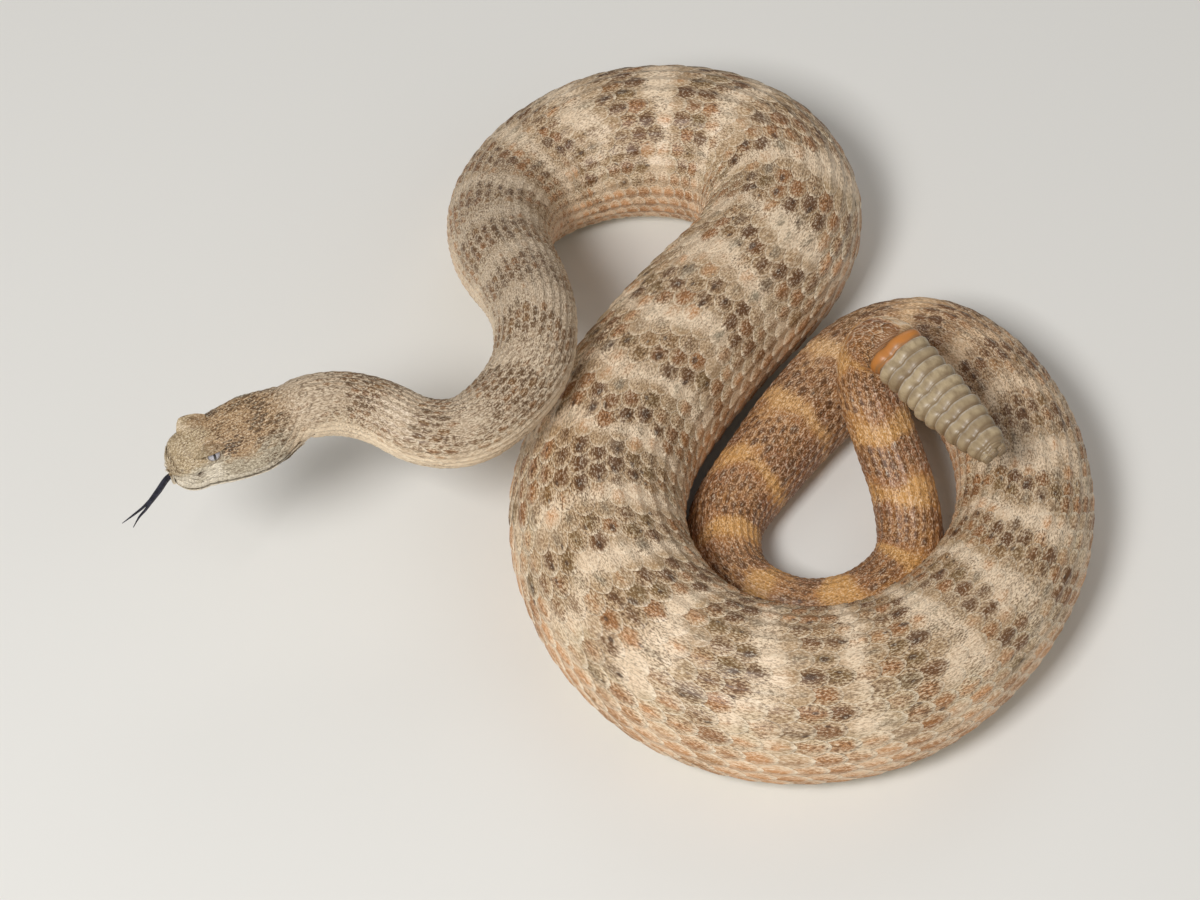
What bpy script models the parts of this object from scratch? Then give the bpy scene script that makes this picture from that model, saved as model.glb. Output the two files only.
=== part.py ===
"""Tiger rattlesnake at life size, lying in loose bends with its head, tail tip and rattle raised.

Sizes are in millimetres. The body is a tube swept along a smoothed path from the back of the
head to the rattle, parted into lengths by thin cuts. Its belly lies on the floor at z = 0.
"""
import math
import random

import bmesh
import bpy
from mathutils import Matrix, Vector

MM = 0.001
GAP = 0.3

# Path of the body: each row is x, y, height of the middle (None where the belly rests), girth
# radius. A length ends where the next one begins.
BODY_PATH = {
    "neck": (
        (-71.4, -30.8, 54.5, 7.1),
        (-63, -27.5, 52.4, 7.3),
        (-54, -28, 50, 7.4),
        (-44, -32, 47.5, 7.6),
        (-35, -30.5, 45.5, 8.0),
        (-27, -23, 44.5, 8.6),
    ),
    "forebody": (
        (-20, -11, 44.5, 9.2),
        (-19, 3, 43.5, 9.8),
        (-22, 19, 37.5, 10.7),
        (-26.5, 34, 30, 11.8),
        (-28, 49, 22.5, 12.8),
    ),
    "front_bend": (
        (-26, 63, 16.5, 14.1),
        (-18, 75, None, 16.0),
        (-5, 82, None, 17.8),
        (9, 84, None, 18.6),
    ),
    "upper_trunk": (
        (23, 82, None, 18.9),
        (35.5, 74, None, 19.1),
        (41, 59, None, 19.2),
        (35, 42, None, 19.4),
    ),
    "mid_trunk": (
        (23, 27, None, 19.6),
        (10, 8, None, 19.9),
        (-1, -13, None, 20.2),
        (-5, -36, None, 20.4),
    ),
    "lower_coil": (
        (2, -60, None, 20.5),
        (17, -77, None, 20.4),
        (39, -84, None, 20.1),
        (62, -79, None, 19.2),
    ),
    "right_coil": (
        (81, -62, None, 17.8),
        (93, -39, None, 16.4),
        (94.5, -14, None, 15.5),
        (87.5, 7, None, 14.5),
    ),
    "hind_body": (
        (75, 20, None, 13.5),
        (60.5, 19, None, 12.3),
        (47, 6, None, 11.1),
        (34.5, -11.5, None, 9.9),
        (25, -29, None, 8.9),
        (27.5, -44.5, None, 8.3),
    ),
    "tail": (
        (41, -53, None, 8.0),
        (56, -50.5, None, 7.9),
        (67.5, -38, 7.5, 7.8),
        (67, -25, 14, 7.6),
        (62, -12, 22, 7.5),
        (58, -2.5, 30, 7.4),
        (58.5, 1, 38, 7.2),
        (63.5, -4.2, 43.5, 7.0),
    ),
}
BELLY_HEIGHT = 0.88      # height of a resting middle, as a share of its radius
PATH_STEP = 1.0
SMOOTHING = 0.33         # half width of the path's smoothing, as a share of the radius
RADIUS_REACH = 8         # half width of the radii's smoothing, in steps of the path
LEAD_IN = 9.0
LEAD_OUT = 7.0
RING_STEP = 5.0
RING_SIDES = 24
TAIL_RING_STEP = 2.6

# The head, measured forward from the neck along its own axis.
HEAD_DIRECTION = (-28.95, -16.1, -1.4)
HEAD_LENGTH = 33.4
SNOUT_LENGTH = 6.9
SNOUT_RINGS = 7
SNOUT_TIP = 0.03
# Stations: forward, half width, top, mouth line, underside, squareness of the section.
HEAD_STATIONS = (
    (0.0, 7.1, 7.0, -1.2, -7.1, 1.0),
    (3.0, 7.1, 6.8, -1.8, -6.7, 0.95),
    (6.0, 7.8, 6.6, -2.4, -6.3, 0.88),
    (9.5, 8.7, 6.5, -2.8, -6.0, 0.82),
    (13.0, 9.2, 6.5, -2.9, -5.8, 0.79),
    (17.0, 8.8, 6.5, -2.9, -5.7, 0.76),
    (21.0, 8.1, 6.6, -2.7, -5.6, 0.73),
    (24.0, 7.3, 6.6, -2.5, -5.3, 0.7),
    (26.5, 6.8, 6.0, -2.3, -4.9, 0.7),
)
HEAD_RING_STEP = 0.95
UPPER_SIDES = 10
LOWER_SIDES = 6
MOUTH_DEPTH = 0.7
MOUTH_OPENING = 0.45
JAW_CORNER = 3.5
LIP_SWELL = 0.25
BROW = dict(forward=25.0, side=5.0, half_length=3.9, half_width=2.6, rise=1.0, overhang=0.9)
EYE = dict(forward=23.9, side=4.5, height=4.9, radius=1.8)
PIT = dict(forward=28.0, height=1.6, radius=0.85, inset=0.25)
NOSTRIL = dict(forward=31.6, height=2.6, radius=0.55, inset=0.1)

# The tongue, in the head's own axes: forward, left, up. It leaves by a notch in the lips.
TONGUE_ROOT = (31.3, 0.0, -2.3)
TONGUE_STEM = ((33.9, 0.3, -2.4), (37.2, 2.2, -2.8), (41.2, 4.3, -3.4))
TONGUE_TIPS = (
    ((44.8, 5.0, -3.3), (48.1, 6.1, -2.9)),
    ((43.9, 6.2, -3.2), (46.5, 8.5, -2.7)),
)
TONGUE_HALF_WIDTH = 0.85
TONGUE_HALF_THICKNESS = 0.45
TONGUE_SIDES = 8
FORK_HALF_SPREAD = 0.33
TIP_HALF_SIZES = ((0.38, 0.36), (0.36, 0.34), (0.34, 0.32), (0.27, 0.27))
NOTCH_DEPTH = 2.4

# The rattle: horny rings in a loose chain, each flattened from side to side.
RATTLE_DIRECTION = (21.9, -33.2, 2.5)
RATTLE_BROAD_FACE = (-0.374, -0.178, 0.910)
RATTLE_LENGTH = 39.5
RATTLE_SIDES = 20
RATTLE_HALF_WIDTHS = (7.3, 7.3, 7.2, 7.2, 7.1, 7.0, 6.8, 6.4, 5.9, 5.3, 4.7)
RATTLE_HALF_THICKNESSES = (4.3, 4.3, 4.2, 4.2, 4.1, 4.1, 4.0, 3.8, 3.6, 3.3, 3.0)
# Each ring by share of its length and fullness, then the last lobe by share and size.
RING_SHAPE = ((0.0, 0.2), (0.22, 0.85), (0.5, 1.0), (0.78, 0.7))
END_LOBE_SHAPE = ((0.1, 0.8), (0.35, 0.72), (0.6, 0.42))
RATTLE_NECKING = 0.16
RATTLE_GROOVE = 0.26
GROOVE_WIDTH = 0.3
TAIL_END_HALF_THICKNESS = 5.2
TAIL_FLATTENS_OVER = 24.0
TAIL_TURNS_OVER = 30.0
TAIL_CARRIED_OVER = 75.0
SHARP_ANGLE = math.radians(45)
SEED = 11


def remove_all():
    for item in list(bpy.data.objects):
        bpy.data.objects.remove(item, do_unlink=True)


def material(name, hex_colour, roughness, metallic=0.0):
    red, green, blue = (int(hex_colour[i:i + 2], 16) / 255 for i in (0, 2, 4))
    linear = [c / 12.92 if c <= 0.04045 else ((c + 0.055) / 1.055) ** 2.4 for c in (red, green, blue)]
    made = bpy.data.materials.new(name)
    made.use_nodes = True
    shader = made.node_tree.nodes["Principled BSDF"]
    shader.inputs["Base Color"].default_value = (*linear, 1.0)
    shader.inputs["Roughness"].default_value = roughness
    shader.inputs["Metallic"].default_value = metallic
    return made


def new_collection(name):
    made = bpy.data.collections.new(name)
    bpy.context.scene.collection.children.link(made)
    return made


def make_body(name, work, made_of, collection):
    """Turns the drawn mesh into a body of triangles, with round parts shaded smooth."""
    bmesh.ops.triangulate(work, faces=work.faces[:])
    bmesh.ops.recalc_face_normals(work, faces=work.faces[:])
    mesh = bpy.data.meshes.new(name)
    work.to_mesh(mesh)
    work.free()
    mesh.shade_smooth()
    mesh.set_sharp_from_angle(angle=SHARP_ANGLE)
    mesh.materials.append(made_of)
    body = bpy.data.objects.new(name, mesh)
    collection.objects.link(body)
    return body


def loft(name, rings, made_of, collection):
    """Closed body through rings of equal count, with flat ends."""
    sides = len(rings[0])
    work = bmesh.new()
    points = [work.verts.new(p * MM) for ring in rings for p in ring]
    faces = []
    for r in range(len(rings) - 1):
        for k in range(sides):
            a = r * sides + k
            b = r * sides + (k + 1) % sides
            faces.append((a, b, b + sides, a + sides))
    faces.append(tuple(reversed(range(sides))))
    last = (len(rings) - 1) * sides
    faces.append(tuple(range(last, last + sides)))
    for face in faces:
        work.faces.new([points[k] for k in face])
    return make_body(name, work, made_of, collection)


def ball(name, middle, radius, made_of, collection, rows=8, sides=12):
    work = bmesh.new()
    place = Matrix.Translation(middle * MM)
    bmesh.ops.create_uvsphere(work, u_segments=sides, v_segments=rows, radius=radius * MM, matrix=place)
    return make_body(name, work, made_of, collection)


def smoothstep(low, high, value):
    t = min(max((value - low) / (high - low), 0.0), 1.0)
    return t * t * (3 - 2 * t)


def table_value(rows, x, column):
    """Value in a table of stations, smoothed between them."""
    if x <= rows[0][0]:
        return rows[0][column]
    for k in range(len(rows) - 1):
        if x <= rows[k + 1][0]:
            break
    else:
        return rows[-1][column]
    before = rows[max(k - 1, 0)]
    here, there = rows[k], rows[k + 1]
    after = rows[min(k + 2, len(rows) - 1)]
    span = there[0] - here[0]
    t = (x - here[0]) / span
    slope_here = (there[column] - before[column]) / max(there[0] - before[0], span)
    slope_there = (after[column] - here[column]) / max(after[0] - here[0], span)
    h = t * t * t, t * t
    return ((2 * h[0] - 3 * h[1] + 1) * here[column] + (h[0] - 2 * h[1] + t) * span * slope_here
            + (3 * h[1] - 2 * h[0]) * there[column] + (h[0] - h[1]) * span * slope_there)


# The path

def path_points():
    rows = [row for rows in BODY_PATH.values() for row in rows]
    return [(Vector((x, y, BELLY_HEIGHT * r if z is None else z)), r) for x, y, z, r in rows]


def catmull(points, t):
    """Centripetal Catmull-Rom curve between the second and third of four points."""
    knots = [0.0]
    for a, b in zip(points, points[1:]):
        knots.append(knots[-1] + max((b - a).length, 1e-6) ** 0.5)
    u = knots[1] + (knots[2] - knots[1]) * t

    def between(a, b, first, last):
        return a.lerp(b, (u - knots[first]) / (knots[last] - knots[first]))

    first = [between(points[k], points[k + 1], k, k + 1) for k in range(3)]
    second = [between(first[k], first[k + 1], k, k + 2) for k in range(2)]
    return between(second[0], second[1], 1, 2)


def dense_path():
    """Fine samples of the path: points, radii and the sample at which each row lies."""
    rows = path_points()
    lead = Vector(HEAD_DIRECTION).normalized()
    ahead = Vector(RATTLE_DIRECTION).normalized()
    points = [rows[0][0] + lead * LEAD_IN] + [p for p, _ in rows] + [rows[-1][0] + ahead * LEAD_OUT]
    radii = [r for _, r in rows]
    samples, widths, row_samples = [], [], []
    for k in range(len(rows) - 1):
        row_samples.append(len(samples))
        count = max(2, round((points[k + 2] - points[k + 1]).length / PATH_STEP))
        for step in range(count):
            t = step / count
            samples.append(catmull(points[k:k + 4], t))
            widths.append(radii[k] + (radii[k + 1] - radii[k]) * t)
    row_samples.append(len(samples))
    samples.append(rows[-1][0])
    widths.append(radii[-1])
    return smoothed(samples, widths), smoothed_numbers(widths), row_samples


def smoothed(samples, widths):
    for _ in range(2):
        result = []
        for i in range(len(samples)):
            reach = min(round(SMOOTHING * widths[i] / PATH_STEP), i, len(samples) - 1 - i)
            window = samples[i - reach:i + reach + 1]
            result.append(sum(window, Vector()) / len(window))
        samples = result
    return samples


def smoothed_numbers(values):
    result = []
    for i in range(len(values)):
        near = min(RADIUS_REACH, i, len(values) - 1 - i)
        window = values[i - near:i + near + 1]
        result.append(sum(window) / len(window))
    return result


class Path:
    """The path by length along it: middle, direction, radius, and the section's side and top."""

    def __init__(self):
        self.points, self.radii, rows = dense_path()
        self.along = [0.0]
        for a, b in zip(self.points, self.points[1:]):
            self.along.append(self.along[-1] + (b - a).length)
        self.length = self.along[-1]
        self.directions = self.find_directions()
        self.tops = self.find_tops()
        self.cuts = {}
        row = 0
        for name, points in BODY_PATH.items():
            self.cuts[name] = self.along[rows[row]]
            row += len(points)

    def find_directions(self):
        points = self.points
        inner = [(points[i + 1] - points[i - 1]).normalized() for i in range(1, len(points) - 1)]
        first = -Vector(HEAD_DIRECTION).normalized()
        last = Vector(RATTLE_DIRECTION).normalized()
        return [first] + inner + [last]

    def find_tops(self):
        """Upward on the body, then carried along the tail so that it doesn't spin in the curl."""
        tops = []
        tail_start = self.length - TAIL_CARRIED_OVER
        for i, direction in enumerate(self.directions):
            guide = Vector((0, 0, 1)) if self.along[i] < tail_start else tops[-1]
            tops.append((guide - guide.dot(direction) * direction).normalized())
        end = rattle_axes()[2]
        turn = math.atan2(self.directions[-1].dot(tops[-1].cross(end)), tops[-1].dot(end))
        for i, direction in enumerate(self.directions):
            share = smoothstep(self.length - TAIL_TURNS_OVER, self.length, self.along[i])
            side = direction.cross(tops[i])
            tops[i] = tops[i] * math.cos(turn * share) + side * math.sin(turn * share)
        return tops

    def at(self, s):
        s = min(max(s, 0.0), self.length)
        low, high = 0, len(self.along) - 1
        while high - low > 1:
            mid = (low + high) // 2
            low, high = (mid, high) if self.along[mid] <= s else (low, mid)
        t = (s - self.along[low]) / (self.along[high] - self.along[low])
        direction = self.directions[low].lerp(self.directions[high], t).normalized()
        top = self.tops[low].lerp(self.tops[high], t)
        top = (top - top.dot(direction) * direction).normalized()
        return (self.points[low].lerp(self.points[high], t), direction,
                self.radii[low] * (1 - t) + self.radii[high] * t, direction.cross(top), top)


def body_ring(path, s, shift=0.0):
    """One section of the body. What would pass through the floor is laid flat on it."""
    middle, direction, radius, side, top = path.at(s)
    flat = smoothstep(path.length - TAIL_FLATTENS_OVER, path.length, s)
    half_thickness = radius + (TAIL_END_HALF_THICKNESS - radius) * flat
    ring = []
    for k in range(RING_SIDES):
        angle = 2 * math.pi * k / RING_SIDES
        p = middle + side * (half_thickness * math.sin(angle)) + top * (radius * math.cos(angle))
        p = p + direction * shift
        p.z = max(p.z, 0.0)
        ring.append(p)
    return ring


def build_body(path, skin, collection):
    names = list(BODY_PATH)
    for k, name in enumerate(names):
        start = path.cuts[name]
        end = path.cuts[names[k + 1]] if k + 1 < len(names) else path.length
        step = TAIL_RING_STEP if name == "tail" else RING_STEP
        count = max(3, round((end - start) / step))
        rings = []
        for i in range(count + 1):
            shift = GAP / 2 if i == 0 else -GAP / 2 if i == count else 0.0
            rings.append(body_ring(path, start + (end - start) * i / count, shift))
        loft(name, rings, skin, collection)


# The head

class HeadFrame:
    """The head's own axes, with their origin at the middle of the neck's front face."""

    def __init__(self):
        self.origin = Vector(BODY_PATH["neck"][0][:3])
        self.forward = Vector(HEAD_DIRECTION).normalized()
        self.left = Vector((0, 0, 1)).cross(self.forward).normalized()
        self.up = self.forward.cross(self.left)

    def place(self, p):
        return self.origin + self.forward * p[0] + self.left * p[1] + self.up * p[2]


def head_sizes(x):
    """Half width, top, mouth line, underside and squareness at a length along the head."""
    start = HEAD_LENGTH - SNOUT_LENGTH
    width, top, mouth, under, square = (table_value(HEAD_STATIONS, x, c) for c in range(1, 6))
    if x > start:
        u = min((x - start) / SNOUT_LENGTH, 1.0)
        width = width * max(1 - u ** 2.6, 0.0) ** 0.5
        top = mouth + (top - mouth) * max(1 - u ** 3.0, 0.0) ** 0.5
        under = mouth + (under - mouth) * max(1 - u ** 2.2, 0.0) ** 0.6
    return width, top, mouth, under, square


def head_half_ring(x):
    """Points of one side of a section, from the crown by the lips to the chin."""
    width, top, mouth, under, square = head_sizes(x)
    open_mouth = smoothstep(JAW_CORNER - 1.5, JAW_CORNER + 1.5, x)
    shrink = min(width / 4.0, 1.0)
    upper_lip = mouth + MOUTH_OPENING / 2 * open_mouth * shrink
    lower_lip = mouth - MOUTH_OPENING / 2 * open_mouth * shrink
    points = []
    for k in range(UPPER_SIDES):
        angle = math.pi / 2 * k / (UPPER_SIDES - 1)
        lip = LIP_SWELL * open_mouth * shrink * smoothstep(0.8, 1.0, k / (UPPER_SIDES - 1))
        y = width * math.sin(angle) ** square + lip
        z = upper_lip + (top - upper_lip) * max(math.cos(angle), 0.0) ** square
        points.append(raised_brow(x, y, z))
    groove = MOUTH_DEPTH * open_mouth * shrink
    points.append((x, width - groove, mouth))
    for k in range(LOWER_SIDES):
        angle = math.pi / 2 * k / (LOWER_SIDES - 1)
        lip = LIP_SWELL * 0.6 * open_mouth * shrink * (1 - smoothstep(0.0, 0.3, k / (LOWER_SIDES - 1)))
        y = (width - 0.25 * open_mouth * shrink) * max(math.cos(angle), 0.0) ** 0.8 + lip
        z = lower_lip + (under - lower_lip) * math.sin(angle) ** 0.8
        points.append((x, y, z))
    return points


def raised_brow(x, y, z):
    """The shield over each eye stands up from the crown and out over the eye."""
    along = (x - BROW["forward"]) / BROW["half_length"]
    across = (y - BROW["side"]) / BROW["half_width"]
    if z < EYE["height"] + 0.3:
        return x, y, z
    share = 1 - smoothstep(0.62, 1.0, math.hypot(along, across))
    return x, y + BROW["overhang"] * share, z + BROW["rise"] * share


def head_stations():
    start = HEAD_LENGTH - SNOUT_LENGTH
    count = round(start / HEAD_RING_STEP)
    even = [start * k / count for k in range(count)]
    snout = [start + SNOUT_LENGTH * math.sin(math.pi / 2 * k / SNOUT_RINGS) for k in range(SNOUT_RINGS)]
    return even + snout + [HEAD_LENGTH - SNOUT_TIP]


def build_head(frame, skin, collection):
    rings = []
    for k, x in enumerate(head_stations()):
        half = head_half_ring(x)
        if k == 0:
            half = [(GAP / 2, y, z) for _, y, z in half]
        other = [(px, -y, z) for px, y, z in reversed(half[1:-1])]
        rings.append([frame.place(p) for p in half + other])
    head = loft("head", rings, skin, collection)
    cutters = head_cutters(frame, skin)
    combine(head, cutters, "DIFFERENCE")


def surface_side(x, z):
    """Half width of the head at a height above the mouth line."""
    width, top, mouth, _, square = head_sizes(x)
    share = min(max((z - mouth) / (top - mouth), 0.0), 1.0)
    angle = math.acos(share ** (1 / square))
    return width * math.sin(angle) ** square


def head_cutters(frame, skin):
    """Sockets, heat pits, nostrils and the notch that the tongue leaves by."""
    cutters = new_collection("cutters")
    for side in (1, -1):
        eye = (EYE["forward"], side * EYE["side"], EYE["height"])
        ball("socket", frame.place(eye), EYE["radius"] + GAP, skin, cutters)
        for name, spot in (("pit", PIT), ("nostril", NOSTRIL)):
            y = surface_side(spot["forward"], spot["height"]) - spot["inset"]
            middle = frame.place((spot["forward"], side * y, spot["height"]))
            ball(name, middle, spot["radius"], skin, cutters)
    half_width = TONGUE_HALF_WIDTH + GAP
    half_height = TONGUE_HALF_THICKNESS + GAP
    corners = ((-1, -1), (1, -1), (1, 1), (-1, 1))
    rings = []
    for x in (HEAD_LENGTH - NOTCH_DEPTH, HEAD_LENGTH + NOTCH_DEPTH):
        places = [(x, y * half_width, TONGUE_ROOT[2] + z * half_height) for y, z in corners]
        rings.append([frame.place(p) for p in places])
    loft("notch", rings, skin, cutters)
    return cutters


def combine(body, others, operation):
    """Cuts the other bodies out of this one, or joins them to it, and removes them."""
    for other in others.objects:
        other.hide_render = True
        other.display_type = "WIRE"
    modifier = body.modifiers.new("combine", "BOOLEAN")
    modifier.operation = operation
    modifier.operand_type = "COLLECTION"
    modifier.collection = others
    modifier.solver = "EXACT"
    graph = bpy.context.evaluated_depsgraph_get()
    mesh = bpy.data.meshes.new_from_object(body.evaluated_get(graph), depsgraph=graph)
    body.modifiers.clear()
    old = body.data
    body.data = mesh
    bpy.data.meshes.remove(old)
    for other in list(others.objects):
        bpy.data.objects.remove(other, do_unlink=True)
    bpy.data.collections.remove(others)
    keep_largest(body)


def keep_largest(body):
    """Keep the largest closed surface of a body."""
    work = bmesh.new()
    work.from_mesh(body.data)
    bmesh.ops.triangulate(work, faces=work.faces[:])
    left = set(work.faces)
    shells = []
    while left:
        stack = [left.pop()]
        shell = []
        while stack:
            face = stack.pop()
            shell.append(face)
            for edge in face.edges:
                for other in edge.link_faces:
                    if other in left:
                        left.remove(other)
                        stack.append(other)
        shells.append(shell)
    shells.sort(key=lambda shell: -sum(face.calc_area() for face in shell))
    for shell in shells[1:]:
        bmesh.ops.delete(work, geom=shell, context="FACES")
    work.to_mesh(body.data)
    work.free()


def build_eyes(frame, made_of, collection):
    for name, side in (("left_eye", 1), ("right_eye", -1)):
        middle = frame.place((EYE["forward"], side * EYE["side"], EYE["height"]))
        ball(name, middle, EYE["radius"], made_of, collection, rows=10, sides=16)


# The tongue

def tongue_strand(name, frame, rows, made_of, collection):
    """A tapering strip through rows of point, half width and half thickness."""
    points = [Vector(row[0]) for row in rows]
    rings = []
    for k, (p, width, thickness) in enumerate(rows):
        ahead = points[min(k + 1, len(points) - 1)] - points[max(k - 1, 0)]
        ahead = Vector((1, 0, 0)) if k == 0 else ahead.normalized()
        side = Vector((0, 0, 1)).cross(ahead).normalized()
        top = ahead.cross(side)
        ring = []
        for step in range(TONGUE_SIDES):
            angle = 2 * math.pi * (step + 0.5) / TONGUE_SIDES
            flat = Vector(p) + side * (width * math.cos(angle)) + top * (thickness * math.sin(angle))
            ring.append(frame.place(flat))
        rings.append(ring)
    return loft(name, rings, made_of, collection)


def build_tongue(frame, made_of, collection):
    stem_rows = [(p, TONGUE_HALF_WIDTH, TONGUE_HALF_THICKNESS) for p in (TONGUE_ROOT, *TONGUE_STEM)]
    tongue = tongue_strand("tongue", frame, stem_rows, made_of, collection)
    tips = new_collection("tips")
    fork = Vector(TONGUE_STEM[-1])
    behind = Vector(TONGUE_STEM[-2])
    for side, tip in zip((-FORK_HALF_SPREAD, FORK_HALF_SPREAD), TONGUE_TIPS):
        bend, end = (Vector(p) for p in tip)
        spread = Vector((0, side, 0))
        places = (fork.lerp(behind, 0.35) + spread, fork.lerp(bend, 0.25) + spread, bend, end)
        rows = [(p, *sizes) for p, sizes in zip(places, TIP_HALF_SIZES)]
        tongue_strand("tip", frame, rows, made_of, tips)
    combine(tongue, tips, "UNION")


# The rattle

def rattle_axes():
    """Along the rattle, out of its broad face, and the tail's top carried on to it."""
    along = Vector(RATTLE_DIRECTION).normalized()
    broad = Vector(RATTLE_BROAD_FACE)
    broad = (broad - broad.dot(along) * along).normalized()
    return along, broad, along.cross(broad)


def rattle_section(middle, half_width, half_thickness, broad, wide, skew=0.0):
    ring = []
    for k in range(RATTLE_SIDES):
        angle = 2 * math.pi * k / RATTLE_SIDES
        across = math.cos(angle)
        groove = 1 - RATTLE_GROOVE * math.exp(-(across / GROOVE_WIDTH) ** 2)
        p = middle + wide * (half_width * across + skew)
        ring.append(p + broad * (half_thickness * math.sin(angle) * groove))
    return ring


def build_rattle(path, horn, collection):
    along, broad, wide = rattle_axes()
    draw = random.Random(SEED)
    base = path.at(path.length)[0] + along * (GAP / 2)
    count = len(RATTLE_HALF_WIDTHS)
    pitch = RATTLE_LENGTH / (count + END_LOBE_SHAPE[-1][0])
    rings = []
    for k, (width, thickness) in enumerate(zip(RATTLE_HALF_WIDTHS, RATTLE_HALF_THICKNESSES)):
        skew = draw.uniform(-0.2, 0.2)
        for t, fullness in RING_SHAPE:
            size = 1 - RATTLE_NECKING * (1 - fullness)
            middle = base + along * ((k + t) * pitch)
            rings.append(rattle_section(middle, width * size, thickness * size, broad, wide, skew))
    for t, size in END_LOBE_SHAPE:
        middle = base + along * ((count + t) * pitch)
        rings.append(rattle_section(middle, width * size, thickness * size, broad, wide))
    loft("rattle", rings, horn, collection)


def main():
    remove_all()
    collection = new_collection("tiger_rattlesnake")
    skin = material("skin", "A98A66", 0.6)
    eye = material("eye", "B9B3B6", 0.15)
    tongue = material("tongue", "15141A", 0.35)
    horn = material("horn", "9C9078", 0.5)
    path = Path()
    frame = HeadFrame()
    build_body(path, skin, collection)
    build_head(frame, skin, collection)
    build_eyes(frame, eye, collection)
    build_tongue(frame, tongue, collection)
    build_rattle(path, horn, collection)
    bpy.context.view_layer.update()


main()
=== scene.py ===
import math
from itertools import product

import bmesh
import bpy
import numpy as np
from mathutils import Matrix, Vector


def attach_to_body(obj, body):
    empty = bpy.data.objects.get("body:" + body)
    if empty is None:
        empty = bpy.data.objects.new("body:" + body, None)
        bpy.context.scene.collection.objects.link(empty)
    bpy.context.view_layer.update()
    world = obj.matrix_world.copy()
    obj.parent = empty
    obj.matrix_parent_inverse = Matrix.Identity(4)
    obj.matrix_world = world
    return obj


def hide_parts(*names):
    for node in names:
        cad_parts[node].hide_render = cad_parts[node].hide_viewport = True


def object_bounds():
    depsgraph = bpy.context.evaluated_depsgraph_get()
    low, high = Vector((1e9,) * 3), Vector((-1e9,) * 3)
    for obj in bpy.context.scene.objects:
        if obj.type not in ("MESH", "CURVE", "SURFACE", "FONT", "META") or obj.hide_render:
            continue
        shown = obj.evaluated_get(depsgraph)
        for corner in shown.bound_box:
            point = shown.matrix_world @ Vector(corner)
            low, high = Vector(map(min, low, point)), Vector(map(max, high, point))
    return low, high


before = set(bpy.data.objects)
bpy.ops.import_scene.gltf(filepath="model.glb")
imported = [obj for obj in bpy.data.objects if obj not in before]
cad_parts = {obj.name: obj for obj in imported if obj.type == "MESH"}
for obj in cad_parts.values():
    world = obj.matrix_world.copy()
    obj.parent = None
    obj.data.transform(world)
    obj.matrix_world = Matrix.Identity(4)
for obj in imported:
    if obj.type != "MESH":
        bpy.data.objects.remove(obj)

bl_info = {
    "name": "Tiger Rattlesnake",
    "version": (1, 0, 0),
    "blender": (4, 5, 0),
    "location": "View3D > Sidebar > Rattlesnake",
    "description": "Gives the packed tiger rattlesnake its skin, scales, eyes, tongue and rattle",
    "category": "Object",
}


def box_corners():
    return [[float(c) for c in corner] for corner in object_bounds()]


CAD_BOX = box_corners()
SPAN = max(high - low for low, high in zip(*CAD_BOX))
MM = 0.001

# The body's path, as in the CAD: x, y, height of the middle (None where it rests), radius, in mm.
BODY_PATH = (
    (-71.4, -30.8, 54.5, 7.1), (-63, -27.5, 52.4, 7.3), (-54, -28, 50, 7.4), (-44, -32, 47.5, 7.6),
    (-35, -30.5, 45.5, 8.0), (-27, -23, 44.5, 8.6), (-20, -11, 44.5, 9.2), (-19, 3, 43.5, 9.8),
    (-22, 19, 37.5, 10.7), (-26.5, 34, 30, 11.8), (-28, 49, 22.5, 12.8), (-26, 63, 16.5, 14.1),
    (-18, 75, None, 16.0), (-5, 82, None, 17.8), (9, 84, None, 18.6), (23, 82, None, 18.9),
    (35.5, 74, None, 19.1), (41, 59, None, 19.2), (35, 42, None, 19.4), (23, 27, None, 19.6),
    (10, 8, None, 19.9), (-1, -13, None, 20.2), (-5, -36, None, 20.4), (2, -60, None, 20.5),
    (17, -77, None, 20.4), (39, -84, None, 20.1), (62, -79, None, 19.2), (81, -62, None, 17.8),
    (93, -39, None, 16.4), (94.5, -14, None, 15.5), (87.5, 7, None, 14.5), (75, 20, None, 13.5),
    (60.5, 19, None, 12.3), (47, 6, None, 11.1), (34.5, -11.5, None, 9.9), (25, -29, None, 8.9),
    (27.5, -44.5, None, 8.3), (41, -53, None, 8.0), (56, -50.5, None, 7.9), (67.5, -38, 7.5, 7.8),
    (67, -25, 14, 7.6), (62, -12, 22, 7.5), (58, -2.5, 30, 7.4), (58.5, 1, 38, 7.2),
    (63.5, -4.2, 43.5, 7.0),
)
BODY_NODES = (
    "neck", "forebody", "front_bend", "upper_trunk", "mid_trunk", "lower_coil", "right_coil",
    "hind_body", "tail",
)
BELLY_HEIGHT = 0.88      # of the middle over the floor, as a share of the radius
SMOOTHING = 0.33         # reach of the path's smoothing, as a share of the radius
RADIUS_REACH = 8
LEAD_IN = 9.0
LEAD_OUT = 7.0
TAIL_CARRIED_OVER = 75.0
TAIL_TURNS_OVER = 30.0
TAIL_FLATTENS_OVER = 24.0
TAIL_END_HALF_THICKNESS = 5.2

HEAD_DIRECTION = (-28.95, -16.1, -1.4)
HEAD_LENGTH = 33.4
SNOUT_LENGTH = 6.9
SNOUT_START = HEAD_LENGTH - SNOUT_LENGTH
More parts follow.
